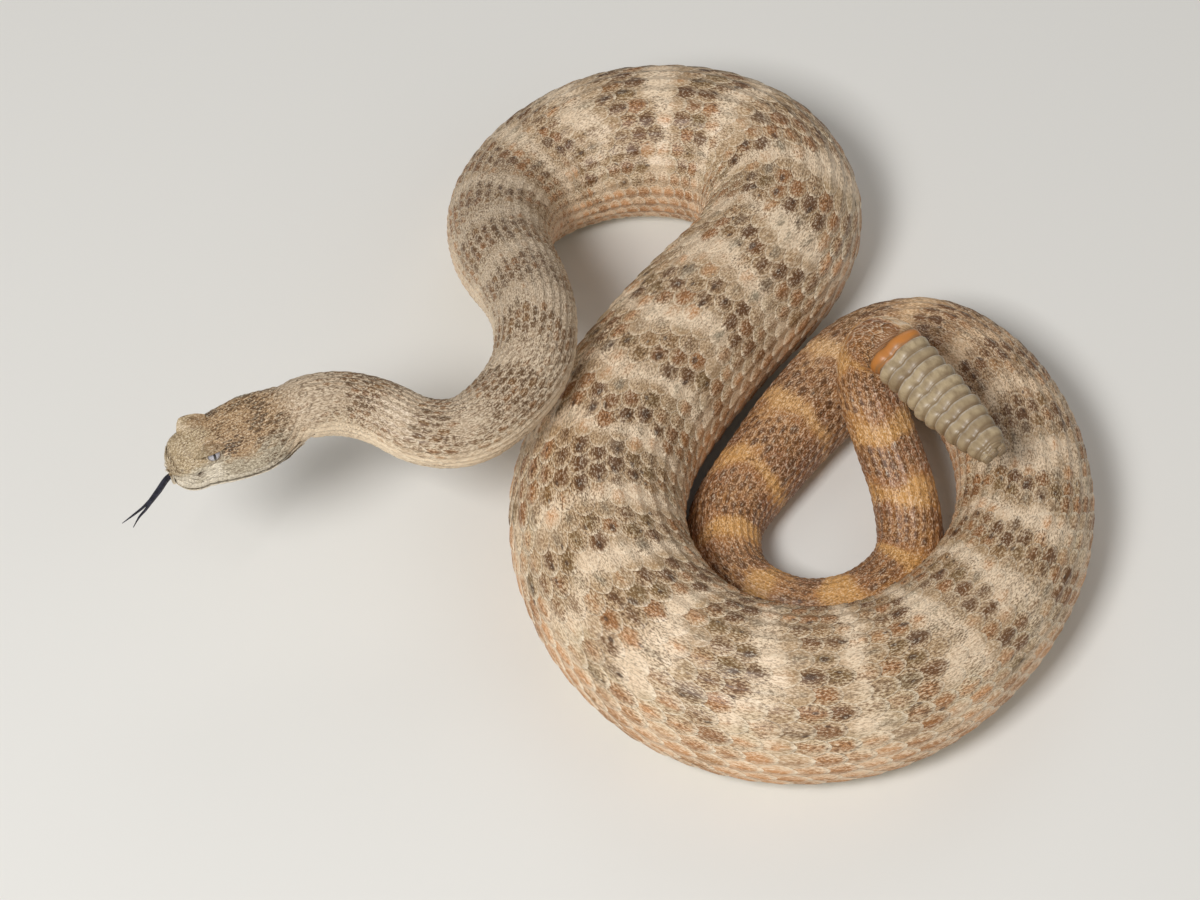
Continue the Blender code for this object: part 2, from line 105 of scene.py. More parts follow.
# Stations of the head: forward, half width, top, mouth line, underside, squareness.
HEAD_STATIONS = (
    (0.0, 7.1, 7.0, -1.2, -7.1, 1.0),
    (3.0, 7.1, 6.8, -1.8, -6.7, 0.95),
    (6.0, 7.8, 6.6, -2.4, -6.3, 0.88),
    (9.5, 8.7, 6.5, -2.8, -6.0, 0.82),
    (13.0, 9.2, 6.5, -2.9, -5.8, 0.79),
    (17.0, 8.8, 6.5, -2.9, -5.7, 0.76),
    (21.0, 8.1, 6.6, -2.7, -5.6, 0.73),
    (24.0, 7.3, 6.6, -2.5, -5.3, 0.7),
    (26.5, 6.8, 6.0, -2.3, -4.9, 0.7),
)
JAW_CORNER = 6.5
MOUTH_DEPTH = 0.7
MOUTH_OPENING = 0.1
LIP_SWELL = 0.25
LOWER_LIP_SWELL = 0.22
BROW_MIDDLE = (25.0, 5.0)             # forward, and from the middle of the head
BROW_HALF = (3.9, 2.6)
BROW_RISE = 0.8
BROW_OVERHANG = 0.5
# The shield over the eye, by share of its length from the front: distance of its edges from the
# middle of the head, and height of the outer edge.
SHIELD_FRONT = 28.5
SHIELD_LENGTH = 7.6
SHIELD_OUTER = ((0.0, 4.5), (0.1, 5.7), (0.22, 6.4), (0.4, 6.55), (0.6, 6.4), (0.8, 6.1), (1.0, 5.4))
SHIELD_INNER = ((0.0, 4.4), (0.1, 3.5), (0.3, 2.8), (0.6, 2.6), (0.85, 3.0), (1.0, 4.6))
SHIELD_RIM = ((0.0, 6.0), (0.1, 6.9), (0.2, 7.5), (0.35, 7.4), (0.6, 7.0), (0.8, 6.7), (1.0, 6.1))
EYE_CENTRE = np.array((23.9, 4.5, 4.9))
EYE_RADIUS = 1.8
EYE_AXIS = (0.12, 0.96, 0.26)
EYE_OPENING = math.radians(52)
LID_GAP = 0.14
# Heat pit and nostril: forward, height, radius, depth.
HOLLOWS = ((28.0, 1.6, 0.85, 1.1), (31.6, 2.6, 0.6, 0.7))
HOLLOW_RIM = 0.12
NOTCH_DEPTH = 1.7        # of the gap in the lips that the tongue comes through

TONGUE_ROOT = (31.3, 0.0, -2.3)
TONGUE_STEM = ((33.9, 0.3, -2.4), (37.2, 2.2, -2.8), (41.2, 4.3, -3.4))
TONGUE_TIPS = (
    ((44.8, 5.0, -3.3), (48.1, 6.1, -2.9)),
    ((43.9, 6.2, -3.2), (46.5, 8.5, -2.7)),
)
TONGUE_HALF_WIDTH = 0.8
TONGUE_HALF_THICKNESS = 0.42

RATTLE_DIRECTION = (21.9, -33.2, 2.5)
RATTLE_BROAD_FACE = (-0.374, -0.178, 0.910)
RATTLE_LENGTH = 39.5
RATTLE_GAP = 0.15        # between the end of the tail and the first ring
RATTLE_HALF_WIDTHS = (7.3, 7.3, 7.2, 7.2, 7.1, 7.0, 6.8, 6.4, 5.9, 5.3, 4.7)
RATTLE_HALF_THICKNESSES = (4.3, 4.3, 4.2, 4.2, 4.1, 4.1, 4.0, 3.8, 3.6, 3.3, 3.0)
# The worn end, in shares of the last ring: back, across, up, length, breadth, thickness.
RATTLE_STUMP = (
    (0.08, 0.0, 0.0, 0.55, 0.74, 0.72), (0.42, 0.42, 0.1, 0.4, 0.3, 0.45),
    (0.46, -0.36, -0.15, 0.5, 0.36, 0.42), (0.55, 0.04, 0.25, 0.34, 0.26, 0.34),
)
# Outline of one ring along the chain: place in rings, and share of its half width.
RING_PROFILE = (
    (-0.5, 0.8), (-0.46, 0.91), (-0.38, 0.97), (-0.25, 1.0), (-0.08, 0.995), (0.1, 0.965),
    (0.24, 0.93), (0.34, 0.885), (0.39, 0.84), (0.44, 0.85), (0.51, 0.865), (0.6, 0.85), (0.68, 0.72),
)

CAMERA_ASIDE = -0.004    # in metres, so that the picture is framed like the photograph

# The skin's mesh.
SIDES = 128
HALF = SIDES // 2
LIP = 38                 # side on which the upper lip's edge runs
SHOULDER = 14            # side between crown and cheek
SECTION_SAMPLES = 240
SNOUT_RINGS = 24
HEAD_RING_STEP = 0.3
BODY_RING_STEP = 1.4
HEAD_COAT = 0.3
FLOOR_CLEARANCE = 0.03
SKIN_FLOOR = 0.4
FLOOR_SOFTNESS = 0.06

# The coat of scales.
COAT_SHARE = 0.17        # depth of the coat, as a share of a scale's length
DORSAL_REACH = math.radians(132)
BELLY_OVERLAP = math.radians(4)
COAT_CUTS = (0.0, 0.3, 0.53, 0.76, 1.0)      # of the body coat's lengths, as shares of the body
TAIL_COAT = 110.0
TAIL_COAT_ENDS = 2.2
PATCH_SIZE = 0.003       # of a scale on the OFBake map
NO_DOT = 0.01

# The markings' edges: by the bands' wave, by share of the way round from back to belly, and by
# length from the nape or from the end of the tail.
BAND_EDGE = (0.28, 0.75)
BAND_SURROUND = (0.03, 0.38)
FLANK_EDGE = (0.22, 0.46)
LOW_FLANK_EDGE = (0.35, 0.53)
BELLY_EDGE = (0.69, 0.75)
NECK_EDGE = (60.0, 200.0)
TAIL_EDGE = (270.0, 130.0)
STREAK = 0.45            # squeeze of lengths along the body, which draws the grain out
HEAD_STREAK = (0.6, 1, 1)
GRAIN = 0.33


def smooth(low, high, value):
    t = np.clip((np.asarray(value, float) - low) / (high - low), 0.0, 1.0)
    return t * t * (3 - 2 * t)


def unit(vectors):
    vectors = np.asarray(vectors, float)
    return vectors / np.linalg.norm(vectors, axis=-1, keepdims=True)


def between(a, b, share):
    """Colours a turned into colours b by a share for each place."""
    return a + (b - a) * np.asarray(share, float)[..., None]


def lengths(points):
    """Distance of each point from the first, along the line through them."""
    return np.concatenate([[0.0], np.cumsum(np.linalg.norm(np.diff(points, axis=0), axis=1))])


def from_back(around):
    """The angle round the body as -pi to pi, with 0 in the middle of the back."""
    return (around + np.pi) % (2 * np.pi) - np.pi


def blotches(points, cell, seed):
    """Smooth random values from 0 to 1 at points in mm, in patches about one cell across."""
    size = 24
    lattice = np.random.default_rng(seed).random((size, size, size))
    where = np.asarray(points, float) / cell
    low = np.floor(where).astype(int)
    part = where - low
    part = part * part * (3 - 2 * part)
    total = np.zeros(len(where))
    for corner in product((0, 1), repeat=3):
        i, j, k = ((low + corner) % size).T
        total += np.where(corner, part, 1 - part).prod(axis=1) * lattice[i, j, k]
    return total


# The body's path


def catmull(points, t):
    """Centripetal Catmull-Rom curve between the second and third of four points."""
    steps = np.maximum(np.linalg.norm(np.diff(points, axis=0), axis=1), 1e-6)
    knots = np.concatenate([[0.0], np.cumsum(np.sqrt(steps))])
    u = knots[1] + (knots[2] - knots[1]) * t

    def part(a, b, first, last):
        return a + (b - a) * ((u - knots[first]) / (knots[last] - knots[first]))[:, None]

    first = [part(points[k], points[k + 1], k, k + 1) for k in range(3)]
    second = [part(first[k], first[k + 1], k, k + 2) for k in range(2)]
    return part(second[0], second[1], 1, 2)


def window_mean(values, reach):
    """Mean of each row and its neighbours up to a reach, which shrinks towards both ends."""
    total = np.concatenate([np.zeros_like(values[:1]), np.cumsum(values, axis=0)])
    i = np.arange(len(values))
    near = np.minimum(np.minimum(reach, i), len(values) - 1 - i).astype(int)
    count = (2 * near + 1).astype(float)
    result = total[i + near + 1] - total[i - near]
    return result / (count[:, None] if values.ndim > 1 else count)


def rattle_axes():
    """Directions along the rattle, out of its broad face, and across it."""
    along = unit(RATTLE_DIRECTION)
    broad = np.array(RATTLE_BROAD_FACE)
    broad = unit(broad - broad.dot(along) * along)
    return along, broad, np.cross(along, broad)


class Spine:
    """The body's middle line by length along it, with the axes and sizes of its section."""

    def __init__(self):
        rows = [(x, y, BELLY_HEIGHT * r if z is None else z, r) for x, y, z, r in BODY_PATH]
        rows = np.array(rows)
        lead = unit(HEAD_DIRECTION)
        ahead = unit(RATTLE_DIRECTION)
        ends = rows[0, :3] + lead * LEAD_IN, rows[-1, :3] + ahead * LEAD_OUT
        guides = np.vstack([ends[0], rows[:, :3], ends[1]])
        points, radii = [], []
        for k in range(len(rows) - 1):
            count = max(2, round(float(np.linalg.norm(guides[k + 2] - guides[k + 1]))))
            t = np.arange(count) / count
            points.append(catmull(guides[k:k + 4], t))
            radii.append(rows[k, 3] + (rows[k + 1, 3] - rows[k, 3]) * t)
        points = np.vstack(points + [rows[-1:, :3]])
        radii = np.concatenate(radii + [rows[-1:, 3]])
        for _ in range(2):
            points = window_mean(points, np.round(SMOOTHING * radii))
        self.points = points
        self.radii = window_mean(radii, RADIUS_REACH)
        self.along = lengths(points)
        self.length = float(self.along[-1])
        self.directions = np.vstack([-lead, unit(points[2:] - points[:-2]), ahead])
        self.tops = self.find_tops()

    def find_tops(self):
        """Upward directions: plumb up to the tail, carried along it, and turned with the rattle."""
        tops = []
        for s, direction in zip(self.along, self.directions):
            resting = s < self.length - TAIL_CARRIED_OVER
            guide = np.array((0.0, 0.0, 1.0)) if resting else tops[-1]
            tops.append(unit(guide - guide.dot(direction) * direction))
        tops = np.array(tops)
        wide = rattle_axes()[2]
        turn = math.atan2(self.directions[-1].dot(np.cross(tops[-1], wide)), tops[-1].dot(wide))
        share = turn * smooth(self.length - TAIL_TURNS_OVER, self.length, self.along)[:, None]
        return tops * np.cos(share) + np.cross(self.directions, tops) * np.sin(share)

    def radius(self, s):
        return np.interp(s, self.along, self.radii)

    def at(self, s):
        """Middle, side and top at lengths s. Past either end the line runs straight on."""
        s = np.asarray(s, float)
        inside = np.clip(s, 0.0, self.length)
        k = np.clip(np.searchsorted(self.along, inside, side="right") - 1, 0, len(self.along) - 2)
        t = ((inside - self.along[k]) / (self.along[k + 1] - self.along[k]))[..., None]
        direction = unit(self.directions[k] * (1 - t) + self.directions[k + 1] * t)
        top = self.tops[k] * (1 - t) + self.tops[k + 1] * t
        top = unit(top - (top * direction).sum(-1, keepdims=True) * direction)
        middle = self.points[k] * (1 - t) + self.points[k + 1] * t
        middle = middle + direction * (s - inside)[..., None]
        return middle, np.cross(direction, top), top

    def end(self, short=0.0):
        """Middle of the tail's end, or of a place short of it."""
        return self.at(np.array([self.length - short]))[0][0]

    def surface(self, s, around, lift):
        """Points at a height above the CAD's surface. Around is 0 on top and rises to the left."""
        middle, side, top = self.at(s)
        radius = self.radius(s)
        flat = smooth(self.length - TAIL_FLATTENS_OVER, self.length, s)
        half = radius + (TAIL_END_HALF_THICKNESS - radius) * flat
        out = unit(np.stack([np.sin(around) / half, np.cos(around) / radius], -1))
        across = half * np.sin(around) + lift * out[..., 0]
        upward = radius * np.cos(around) + lift * out[..., 1]
        points = middle + side * across[..., None] + top * upward[..., None]
        depth = np.clip(-lift / self.coat(s), 0.0, 1.0)
        floor = FLOOR_CLEARANCE + (SKIN_FLOOR - FLOOR_CLEARANCE) * depth
        above = points[..., 2] - floor
        points[..., 2] = floor + 0.5 * (above + np.sqrt(above ** 2 + FLOOR_SOFTNESS))
        return points

    def pitch(self, s):
        """Distance between one scale and the next behind it in its row."""
        return 1.2 + 0.2 * self.radius(s)

    def coat(self, s):
        """Depth of the coat of scales, and so of the skin under the CAD's surface."""
        return COAT_SHARE * self.pitch(s)


# The head


def table_value(x, column):
    """Value in the head's table of stations, smoothed between them."""
    rows = HEAD_STATIONS
    if x <= rows[0][0]:
        return rows[0][column]
    if x > rows[-1][0]:
        return rows[-1][column]
    k = next(i for i in range(len(rows) - 1) if x <= rows[i + 1][0])
    here, there = rows[k], rows[k + 1]
    before, after = rows[max(k - 1, 0)], rows[min(k + 2, len(rows) - 1)]
    span = there[0] - here[0]
    t = (x - here[0]) / span
    slope_here = (there[column] - before[column]) / max(there[0] - before[0], span)
    slope_there = (after[column] - here[column]) / max(after[0] - here[0], span)
    cube, square = t ** 3, t ** 2
    start = (2 * cube - 3 * square + 1) * here[column] + (cube - 2 * square + t) * span * slope_here
    return start + (3 * square - 2 * cube) * there[column] + (cube - square) * span * slope_there


def head_sizes(x):
    """Half width, top, mouth line, underside and squareness at a length along the head."""
    width, top, mouth, under, square = (table_value(x, c) for c in range(1, 6))
    if x > SNOUT_START:
        u = min((x - SNOUT_START) / SNOUT_LENGTH, 1.0)
        width = width * max(1 - u ** 2.6, 0.0) ** 0.5
        top = mouth + (top - mouth) * max(1 - u ** 3.0, 0.0) ** 0.5
        under = mouth + (under - mouth) * max(1 - u ** 2.2, 0.0) ** 0.6
    return width, top, mouth, under, square


def evenly(curve, count):
    """The same curve through a count of points at even distances."""
    along = lengths(curve)
    where = np.linspace(0.0, along[-1], count)
    return np.stack([np.interp(where, along, curve[:, c]) for c in range(curve.shape[1])], 1)


def mouth_share(x):
    """Rises from 0 behind the corner of the jaw to 1 in front of it."""
    return float(smooth(JAW_CORNER - 1.5, JAW_CORNER + 1.5, x))


def head_half_ring(x):
    """Left half of a section, from the crown by the lips to the chin, as sideways and upward."""
    width, top, mouth, under, square = head_sizes(x)
    gape = mouth_share(x) * min(width / 4.0, 1.0)
    t = np.linspace(0.0, 1.0, SECTION_SAMPLES)
    sine, cosine = np.sin(t * math.pi / 2), np.maximum(np.cos(t * math.pi / 2), 0.0)
    upper_lip = mouth + MOUTH_OPENING / 2 * gape
    y = width * sine ** square + LIP_SWELL * gape * smooth(0.8, 1.0, t)
    z = upper_lip + (top - upper_lip) * cosine ** square
    forward, side = (x - BROW_MIDDLE[0]) / BROW_HALF[0], (y - BROW_MIDDLE[1]) / BROW_HALF[1]
    over_eye = smooth(EYE_CENTRE[2] + 0.2, EYE_CENTRE[2] + 0.6, z)
    share = (1 - smooth(0.62, 1.0, np.hypot(forward, side))) * over_eye
    y = y + BROW_OVERHANG * share
    z = z + BROW_RISE * share
    upper = evenly(np.stack([y, z], 1), LIP + 1)
    lower_lip = mouth - MOUTH_OPENING / 2 * gape
    y = (width + LOWER_LIP_SWELL * gape) * cosine ** 0.8
    y = y + LIP_SWELL * 0.6 * gape * (1 - smooth(0.0, 0.3, t))
    z = lower_lip + (under - lower_lip) * sine ** 0.8
    lower = evenly(np.stack([y, z], 1), HALF - LIP - 1)
    groove = np.array([[max(width - MOUTH_DEPTH * gape, 0.0), mouth]])
    return np.vstack([upper, groove, lower])


def surface_side(x, z):
    """Half width of the head at a height above the mouth line."""
    width, top, mouth, _, square = head_sizes(x)
    share = min(max((z - mouth) / (top - mouth), 0.0), 1.0)
    return width * math.sin(math.acos(share ** (1 / square))) ** square


def surface_height(x, y):
    """Height of the top of the head at a distance from its middle."""
    width, top, mouth, _, square = head_sizes(x)
    share = min(abs(y) / width, 1.0) ** (1 / square)
    return mouth + (top - mouth) * (1 - share ** 2) ** (square / 2)


def grid_normals(grid):
    down = np.gradient(grid, axis=0)
    across = np.roll(grid, -1, axis=1) - np.roll(grid, 1, axis=1)
    normals = np.cross(across, down)
    return normals / np.maximum(np.linalg.norm(normals, axis=-1, keepdims=True), 1e-9)


class Head:
    """The head's own axes, and its skin as rings from the snout back to the neck."""

    def __init__(self, spine):
        self.spine = spine
        self.origin = np.array(BODY_PATH[0][:3], float)
        forward = unit(HEAD_DIRECTION)
        left = unit(np.cross((0, 0, 1), forward))
        self.axes = np.stack([forward, left, np.cross(forward, left)])
        turns = [math.pi / 2 * k / SNOUT_RINGS for k in range(SNOUT_RINGS - 1, 0, -1)]
        snout = [SNOUT_START + SNOUT_LENGTH * math.sin(turn) for turn in turns]
        rest = np.linspace(SNOUT_START, 0.0, round(SNOUT_START / HEAD_RING_STEP) + 1)
        self.x = np.array([HEAD_LENGTH - 0.01] + snout + list(rest))
        self.rings = self.bare_rings()
        self.hollow_shade = self.carve()
        self.normals = grid_normals(self.rings)

    def bare_rings(self):
        """Rings under the head's thin coat, which blend into the round neck."""
        angle = np.pi * np.arange(HALF + 1) / HALF
        circle = BODY_PATH[0][3] * np.stack([np.sin(angle), np.cos(angle)], 1)
        rings = []
        for x in self.x:
            half = head_half_ring(x)
            half = circle + (half - circle) * float(smooth(0.0, 4.0, x))
            ring = np.vstack([half, half[HALF - 1:0:-1] * (-1, 1)])
            rings.append(np.column_stack([np.full(SIDES, x), ring]))
        rings = np.array(rings)
        neck = 1 - smooth(0.0, 6.0, self.x)
        depth = HEAD_COAT + (self.spine.coat(0.0) - HEAD_COAT) * neck
        rings = rings - grid_normals(rings) * depth[:, None, None]
        rings[:, 0, 1] = 0.0
        rings[:, HALF, 1] = 0.0
        return rings

    def carve(self):
        """Cuts sockets, pits, nostrils and the tongue's notch; how deep each point is sets its painted
        shade.
        """
        x, y, z = (self.rings[..., c] for c in range(3))
        side = np.where(y >= 0, 1.0, -1.0)
        hollow_shade = np.zeros(x.shape)
        for forward, height, radius, depth in HOLLOWS:
            middle = surface_side(forward, height)
            away = np.sqrt((x - forward) ** 2 + (z - height) ** 2 + (np.abs(y) - middle) ** 2) / radius
            share = 1 - smooth(0.35, 1.0, away)
            rim = smooth(0.9, 1.15, away) * (1 - smooth(1.15, 1.7, away))
            y -= side * (depth * share - HOLLOW_RIM * rim)
            hollow_shade = np.maximum(hollow_shade, share)
        offset = np.stack([x, np.abs(y), z], -1) - EYE_CENTRE
        away = np.linalg.norm(offset, axis=-1)
        lean = np.arccos(np.clip((offset @ unit(EYE_AXIS)) / np.maximum(away, 1e-6), -1, 1))
        inside = (lean < EYE_OPENING) & (away < EYE_RADIUS + 1.2)
        under = (lean >= EYE_OPENING) & (away < EYE_RADIUS + LID_GAP)
        target = np.where(inside, EYE_RADIUS - 0.3, np.where(under, EYE_RADIUS + LID_GAP, away))
        moved = EYE_CENTRE + offset * (target / np.maximum(away, 1e-6))[..., None]
        change = inside | under
        for c, values in enumerate((x, y, z)):
            new = moved[..., c] * (side if c == 1 else 1.0)
            values[change] = new[change]
        hollow_shade[inside] = 1.0
        notch = (1 - smooth(0.8, 1.2, np.abs(y))) * (1 - smooth(0.5, 0.85, np.abs(z - TONGUE_ROOT[2])))
        notch = notch * (x > HEAD_LENGTH - 3.0)
        x -= NOTCH_DEPTH * notch
        hollow_shade = np.maximum(hollow_shade, notch)
        # Painted shade along the mouth's groove.
        for groove in (LIP + 1, SIDES - LIP - 1):
            hollow_shade[:, groove] = np.maximum(hollow_shade[:, groove], 0.45 * smooth(5.5, 8.0, x[:, groove]))
        return hollow_shade

    def turn(self, vectors):
        return np.asarray(vectors, float) @ self.axes

    def place(self, points):
        return self.origin + self.turn(points)

    def ring_at(self, x):
        return np.interp(-x, -self.x, np.arange(len(self.x)))

    def sample(self, x, side):
        """Point and normal of the skin, in the head's axes."""
        ring = self.ring_at(x)
        i = min(int(ring), len(self.x) - 2)
        j = int(math.floor(side))
        t, w = ring - i, side - j

        def at(grid):
            a, b = grid[i], grid[i + 1]
            low = a[j % SIDES] * (1 - t) + b[j % SIDES] * t
            high = a[(j + 1) % SIDES] * (1 - t) + b[(j + 1) % SIDES] * t
            return low * (1 - w) + high * w

        return at(self.rings), unit(at(self.normals))

    def backward(self, x, side):
        """Direction back from the snout along the skin, and on along the neck's."""
        here = self.sample(x, side)[0]
        if x > 3.0:
            return unit(self.sample(x - 0.3, side)[0] - here)
        s, turn = np.array([3.5 - x]), np.array([2 * np.pi * side / SIDES])
        after = self.spine.surface(s, turn, -self.spine.coat(s))[0]
        return unit((after - self.origin) @ self.axes.T - here)

    def arcs(self, x):
        """Distances round the left half of the section from the crown, by side."""
        return lengths(self.rings[int(round(self.ring_at(x)))][:HALF + 1])

    def back_from_snout(self, side, distance):
        """Length along the head of the place a distance back over the skin, on one side."""
        return float(np.interp(distance, lengths(self.rings[:, side]), self.x))


# Making meshes


def new_object(name, mesh):
    made = bpy.data.objects.new(name, mesh)
    bpy.context.scene.collection.objects.link(made)
    return made


def write(mesh, name, values):
    """Adds values to a mesh's points as an attribute."""
    values = np.asarray(values, float)
    kinds = {1: ("FLOAT", "value"), 3: ("FLOAT_VECTOR", "vector"), 4: ("QUATERNION", "value")}
    kind, field = kinds[1 if values.ndim == 1 else values.shape[1]]
    data = mesh.attributes.new(name, kind, "POINT").data
    data.foreach_set(field, values.astype(np.float32).ravel())


def take(mesh, name, width):
    """Reads an attribute of a mesh's points and removes it."""
    values = np.empty(len(mesh.vertices) * width, np.float32)
    mesh.attributes[name].data.foreach_get("value" if width == 1 else "vector", values)
    mesh.attributes.remove(mesh.attributes[name])
    return values.reshape(-1, width) if width > 1 else values


def places(mesh):
    """Points of a mesh in mm."""
    values = np.empty(len(mesh.vertices) * 3, np.float32)
    mesh.vertices.foreach_get("co", values)
    return values.reshape(-1, 3).astype(float) / MM


def bake_map(mesh, *uv):
    """Gives the mesh its OFBake map, from one place for each point."""
    layer = mesh.uv_layers.new(name="OFBake")
    corners = np.empty(len(mesh.loops), int)
    mesh.loops.foreach_get("vertex_index", corners)
    layer.data.foreach_set("uv", np.stack(uv, 1).astype(np.float32)[corners].ravel())


def closed_loft(count, sides):
    """Faces of a closed body through a count of points in rings, with flat ends."""
    faces = []
    for start in range(0, count - sides, sides):
        for k in range(sides):
            a, b = start + k, start + (k + 1) % sides
            faces.append((a, b, b + sides, a + sides))
    return faces + [tuple(reversed(range(sides))), tuple(range(count - sides, count))]


def solid(name, points, faces, sharp=None, size=MM):
    """A smooth closed mesh through points, which are in mm if no size is given, facing outward."""
    mesh = bpy.data.meshes.new(name)
    mesh.from_pydata((np.asarray(points) * size).tolist(), [], faces)
    work = bmesh.new()
    work.from_mesh(mesh)
    bmesh.ops.recalc_face_normals(work, faces=work.faces[:])
    work.to_mesh(mesh)
    work.free()
    mesh.shade_smooth()
    if sharp:
        mesh.set_sharp_from_angle(angle=sharp)
    return mesh


def plate_faces(long, wide):
    """Faces of a closed plate: a grid over an underside that joins its two long edges."""
    faces = []
    for a in range(0, (long - 1) * wide, wide):
        for j in range(wide - 1):
            faces.append((a + j, a + j + wide, a + j + wide + 1, a + j + 1))
        faces.append((a, a + wide - 1, a + 2 * wide - 1, a + wide))
    last = (long - 1) * wide
    return faces + [tuple(range(wide)), tuple(reversed(range(last, last + wide)))]


def plate(name, us, vs, half_width, height, start, length):
    """Plate one unit of pitch and spacing in size, drawn from the shape of its outline and top."""
    leaf = [(u, v, 0.0) for u in us for v in vs]
    points = [(start + length * u, half_width(u) * v, height(u, v)) for u, v, _ in leaf]
    mesh = solid(name, points, plate_faces(len(us), len(vs)), math.radians(50), 1.0)
    write(mesh, "leaf", leaf)
    return new_object(name, mesh)


def leaf_width(u):
    """Half width of a scale: a blunt root, full sides and a rounded tip."""
    taper = max(1 - max(0.0, (u - 0.4) / 0.6) ** 2.2, 0.0) ** 0.7
    return 0.76 * (0.6 + 0.4 * float(smooth(0.0, 0.4, u))) * max(taper, 0.07)


def leaf_height(u, v):
    """Height of a scale, which rises to its tip and has a keel along its middle."""
    fade = float(smooth(1.02, 0.8, u)) if u > 0.8 else 1.0
    dome = 0.07 * (1 - abs(v) ** 1.8) * (0.35 + 0.65 * fade)
    keel = 0.04 * fade * float(smooth(0.0, 0.3, u)) if v == 0 else 0.0
    return 0.01 + 0.12 * u + dome + keel


def keeled_scale():
    us = (0.0, 0.25, 0.45, 0.62, 0.77, 0.89, 0.97, 1.0)
    vs = (-1.0, -0.62, -0.16, 0.0, 0.16, 0.62, 1.0)
    return plate("keeled scale", us, vs, leaf_width, leaf_height, -0.75, 1.7)


def small_scale():
    def height(u, v):
        return leaf_height(u, v) * 1.6

    us, vs = (0.0, 0.3, 0.55, 0.78, 0.93, 1.0), (-1.0, -0.55, 0.0, 0.55, 1.0)
    return plate("small scale", us, vs, leaf_width, height, -0.75, 1.7)


def lip_plate():
    def half_width(u):
        return (1 - abs(2 * u - 1) ** 3.5 * 0.45) ** 0.8

    def height(u, v):
        return 0.01 + 0.16 * (1 - abs(2 * u - 1) ** 3) ** 0.5 * (1 - abs(v) ** 4) ** 0.5

    us = (0.0, 0.06, 0.2, 0.4, 0.6, 0.8, 0.94, 1.0)
    vs = (-1.0, -0.85, -0.4, 0.0, 0.4, 0.85, 1.0)
    return plate("lip plate", us, vs, half_width, height, -0.5, 1.0)


def belly_plate():
    def half_width(u):
        return 1.0 - 0.08 * u ** 4

    def height(u, v):
        return 0.02 + 0.1 * u + 0.03 * (1 - u ** 6) * (1 - abs(v) ** 6)

    us, vs = (0.0, 0.35, 0.7, 0.92, 1.0), tuple(np.linspace(-1, 1, 13))
    return plate("belly plate", us, vs, half_width, height, -0.35, 1.45)


# Nodes, and repeating by Geometry Nodes


def node(tree, kind, inputs=None, **settings):
    """Adds a node with its settings and its inputs: values, sockets, or nodes' first outputs."""
    made = tree.nodes.new(kind)
    for key, value in settings.items():
        setattr(made, key, value)
    for key, value in (inputs or {}).items():
        if isinstance(value, bpy.types.Node):
            value = value.outputs[0]
        if isinstance(value, bpy.types.NodeSocket):
            tree.links.new(value, made.inputs[key])
        else:
            made.inputs[key].default_value = value
    return made


def repeat_tree():
    """Puts a piece on each point, by its own size and facing, and gives it a finish."""
    tree = bpy.data.node_groups.get("repeat on points")
    if tree:
        return tree
    tree = bpy.data.node_groups.new("repeat on points", "GeometryNodeTree")
    for name, way, kind in (
        ("Points", "INPUT", "Geometry"), ("Piece", "INPUT", "Object"),
        ("Finish", "INPUT", "Material"), ("Pieces", "OUTPUT", "Geometry"),
    ):
        tree.interface.new_socket(name, in_out=way, socket_type="NodeSocket" + kind)
    given = node(tree, "NodeGroupInput").outputs
    piece = node(tree, "GeometryNodeObjectInfo", {"Object": given["Piece"]})
    read = "GeometryNodeInputNamedAttribute"
    placed = node(tree, "GeometryNodeInstanceOnPoints", {
        "Points": given["Points"],
        "Instance": piece.outputs["Geometry"],
        "Rotation": node(tree, read, {"Name": "facing"}, data_type="QUATERNION"),
        "Scale": node(tree, read, {"Name": "size"}, data_type="FLOAT_VECTOR"),
    })
    real = node(tree, "GeometryNodeRealizeInstances", {"Geometry": placed})
    done = node(tree, "GeometryNodeSetMaterial", {"Geometry": real, "Material": given["Finish"]})
    node(tree, "NodeGroupOutput", {"Pieces": done})
    return tree


def repeat(name, piece, finish, points, sizes, facing, **values):
    """The piece repeated on points, as one mesh. Values become attributes of the pieces."""
    mesh = bpy.data.meshes.new(name)
    mesh.from_pydata((np.asarray(points) * MM).tolist(), [], [])
    for key, value in dict(size=np.asarray(sizes) * MM, facing=facing, **values).items():
        write(mesh, key, value)
    holder = new_object(name + " points", mesh)
    tree = repeat_tree()
    modifier = holder.modifiers.new("repeat", "NODES")
    items = tree.interface.items_tree
    sockets = {item.name: item.identifier for item in items if item.in_out == "INPUT"}
    modifier.node_group = tree
    modifier[sockets["Piece"]] = piece
    modifier[sockets["Finish"]] = finish
    graph = bpy.context.evaluated_depsgraph_get()
    result = bpy.data.meshes.new_from_object(holder.evaluated_get(graph), depsgraph=graph)
    expected = len(points) * len(piece.data.vertices)
    bpy.data.objects.remove(holder, do_unlink=True)
    bpy.data.meshes.remove(mesh)
    bpy.data.objects.remove(piece, do_unlink=True)
    if len(result.vertices) != expected:
        raise RuntimeError(name + ": the pieces weren't all made")
    for helper in ("size", "facing"):
        if helper in result.attributes:
            result.attributes.remove(result.attributes[helper])
    result.name = name
    return result


def quaternions(tangents, normals):
    """Facings whose x lies along the tangents and z along the normals."""
    result = []
    for tangent, normal in zip(tangents, normals):
        z = Vector(normal).normalized()
        x = Vector(tangent)
        x = (x - x.dot(z) * z).normalized()
        result.append(tuple(Matrix((x, z.cross(x), z)).transposed().to_quaternion()))
    return np.array(result)


# Markings. A look is the ground colour, the mark's colour, how full the mark is, how thick the
# pepper is and how large the dark dot is, for each of a number of places.


def mix_looks(a, b, share):
    return [between(p, q, share) if p.ndim > 1 else p + (q - p) * share for p, q in zip(a, b)]


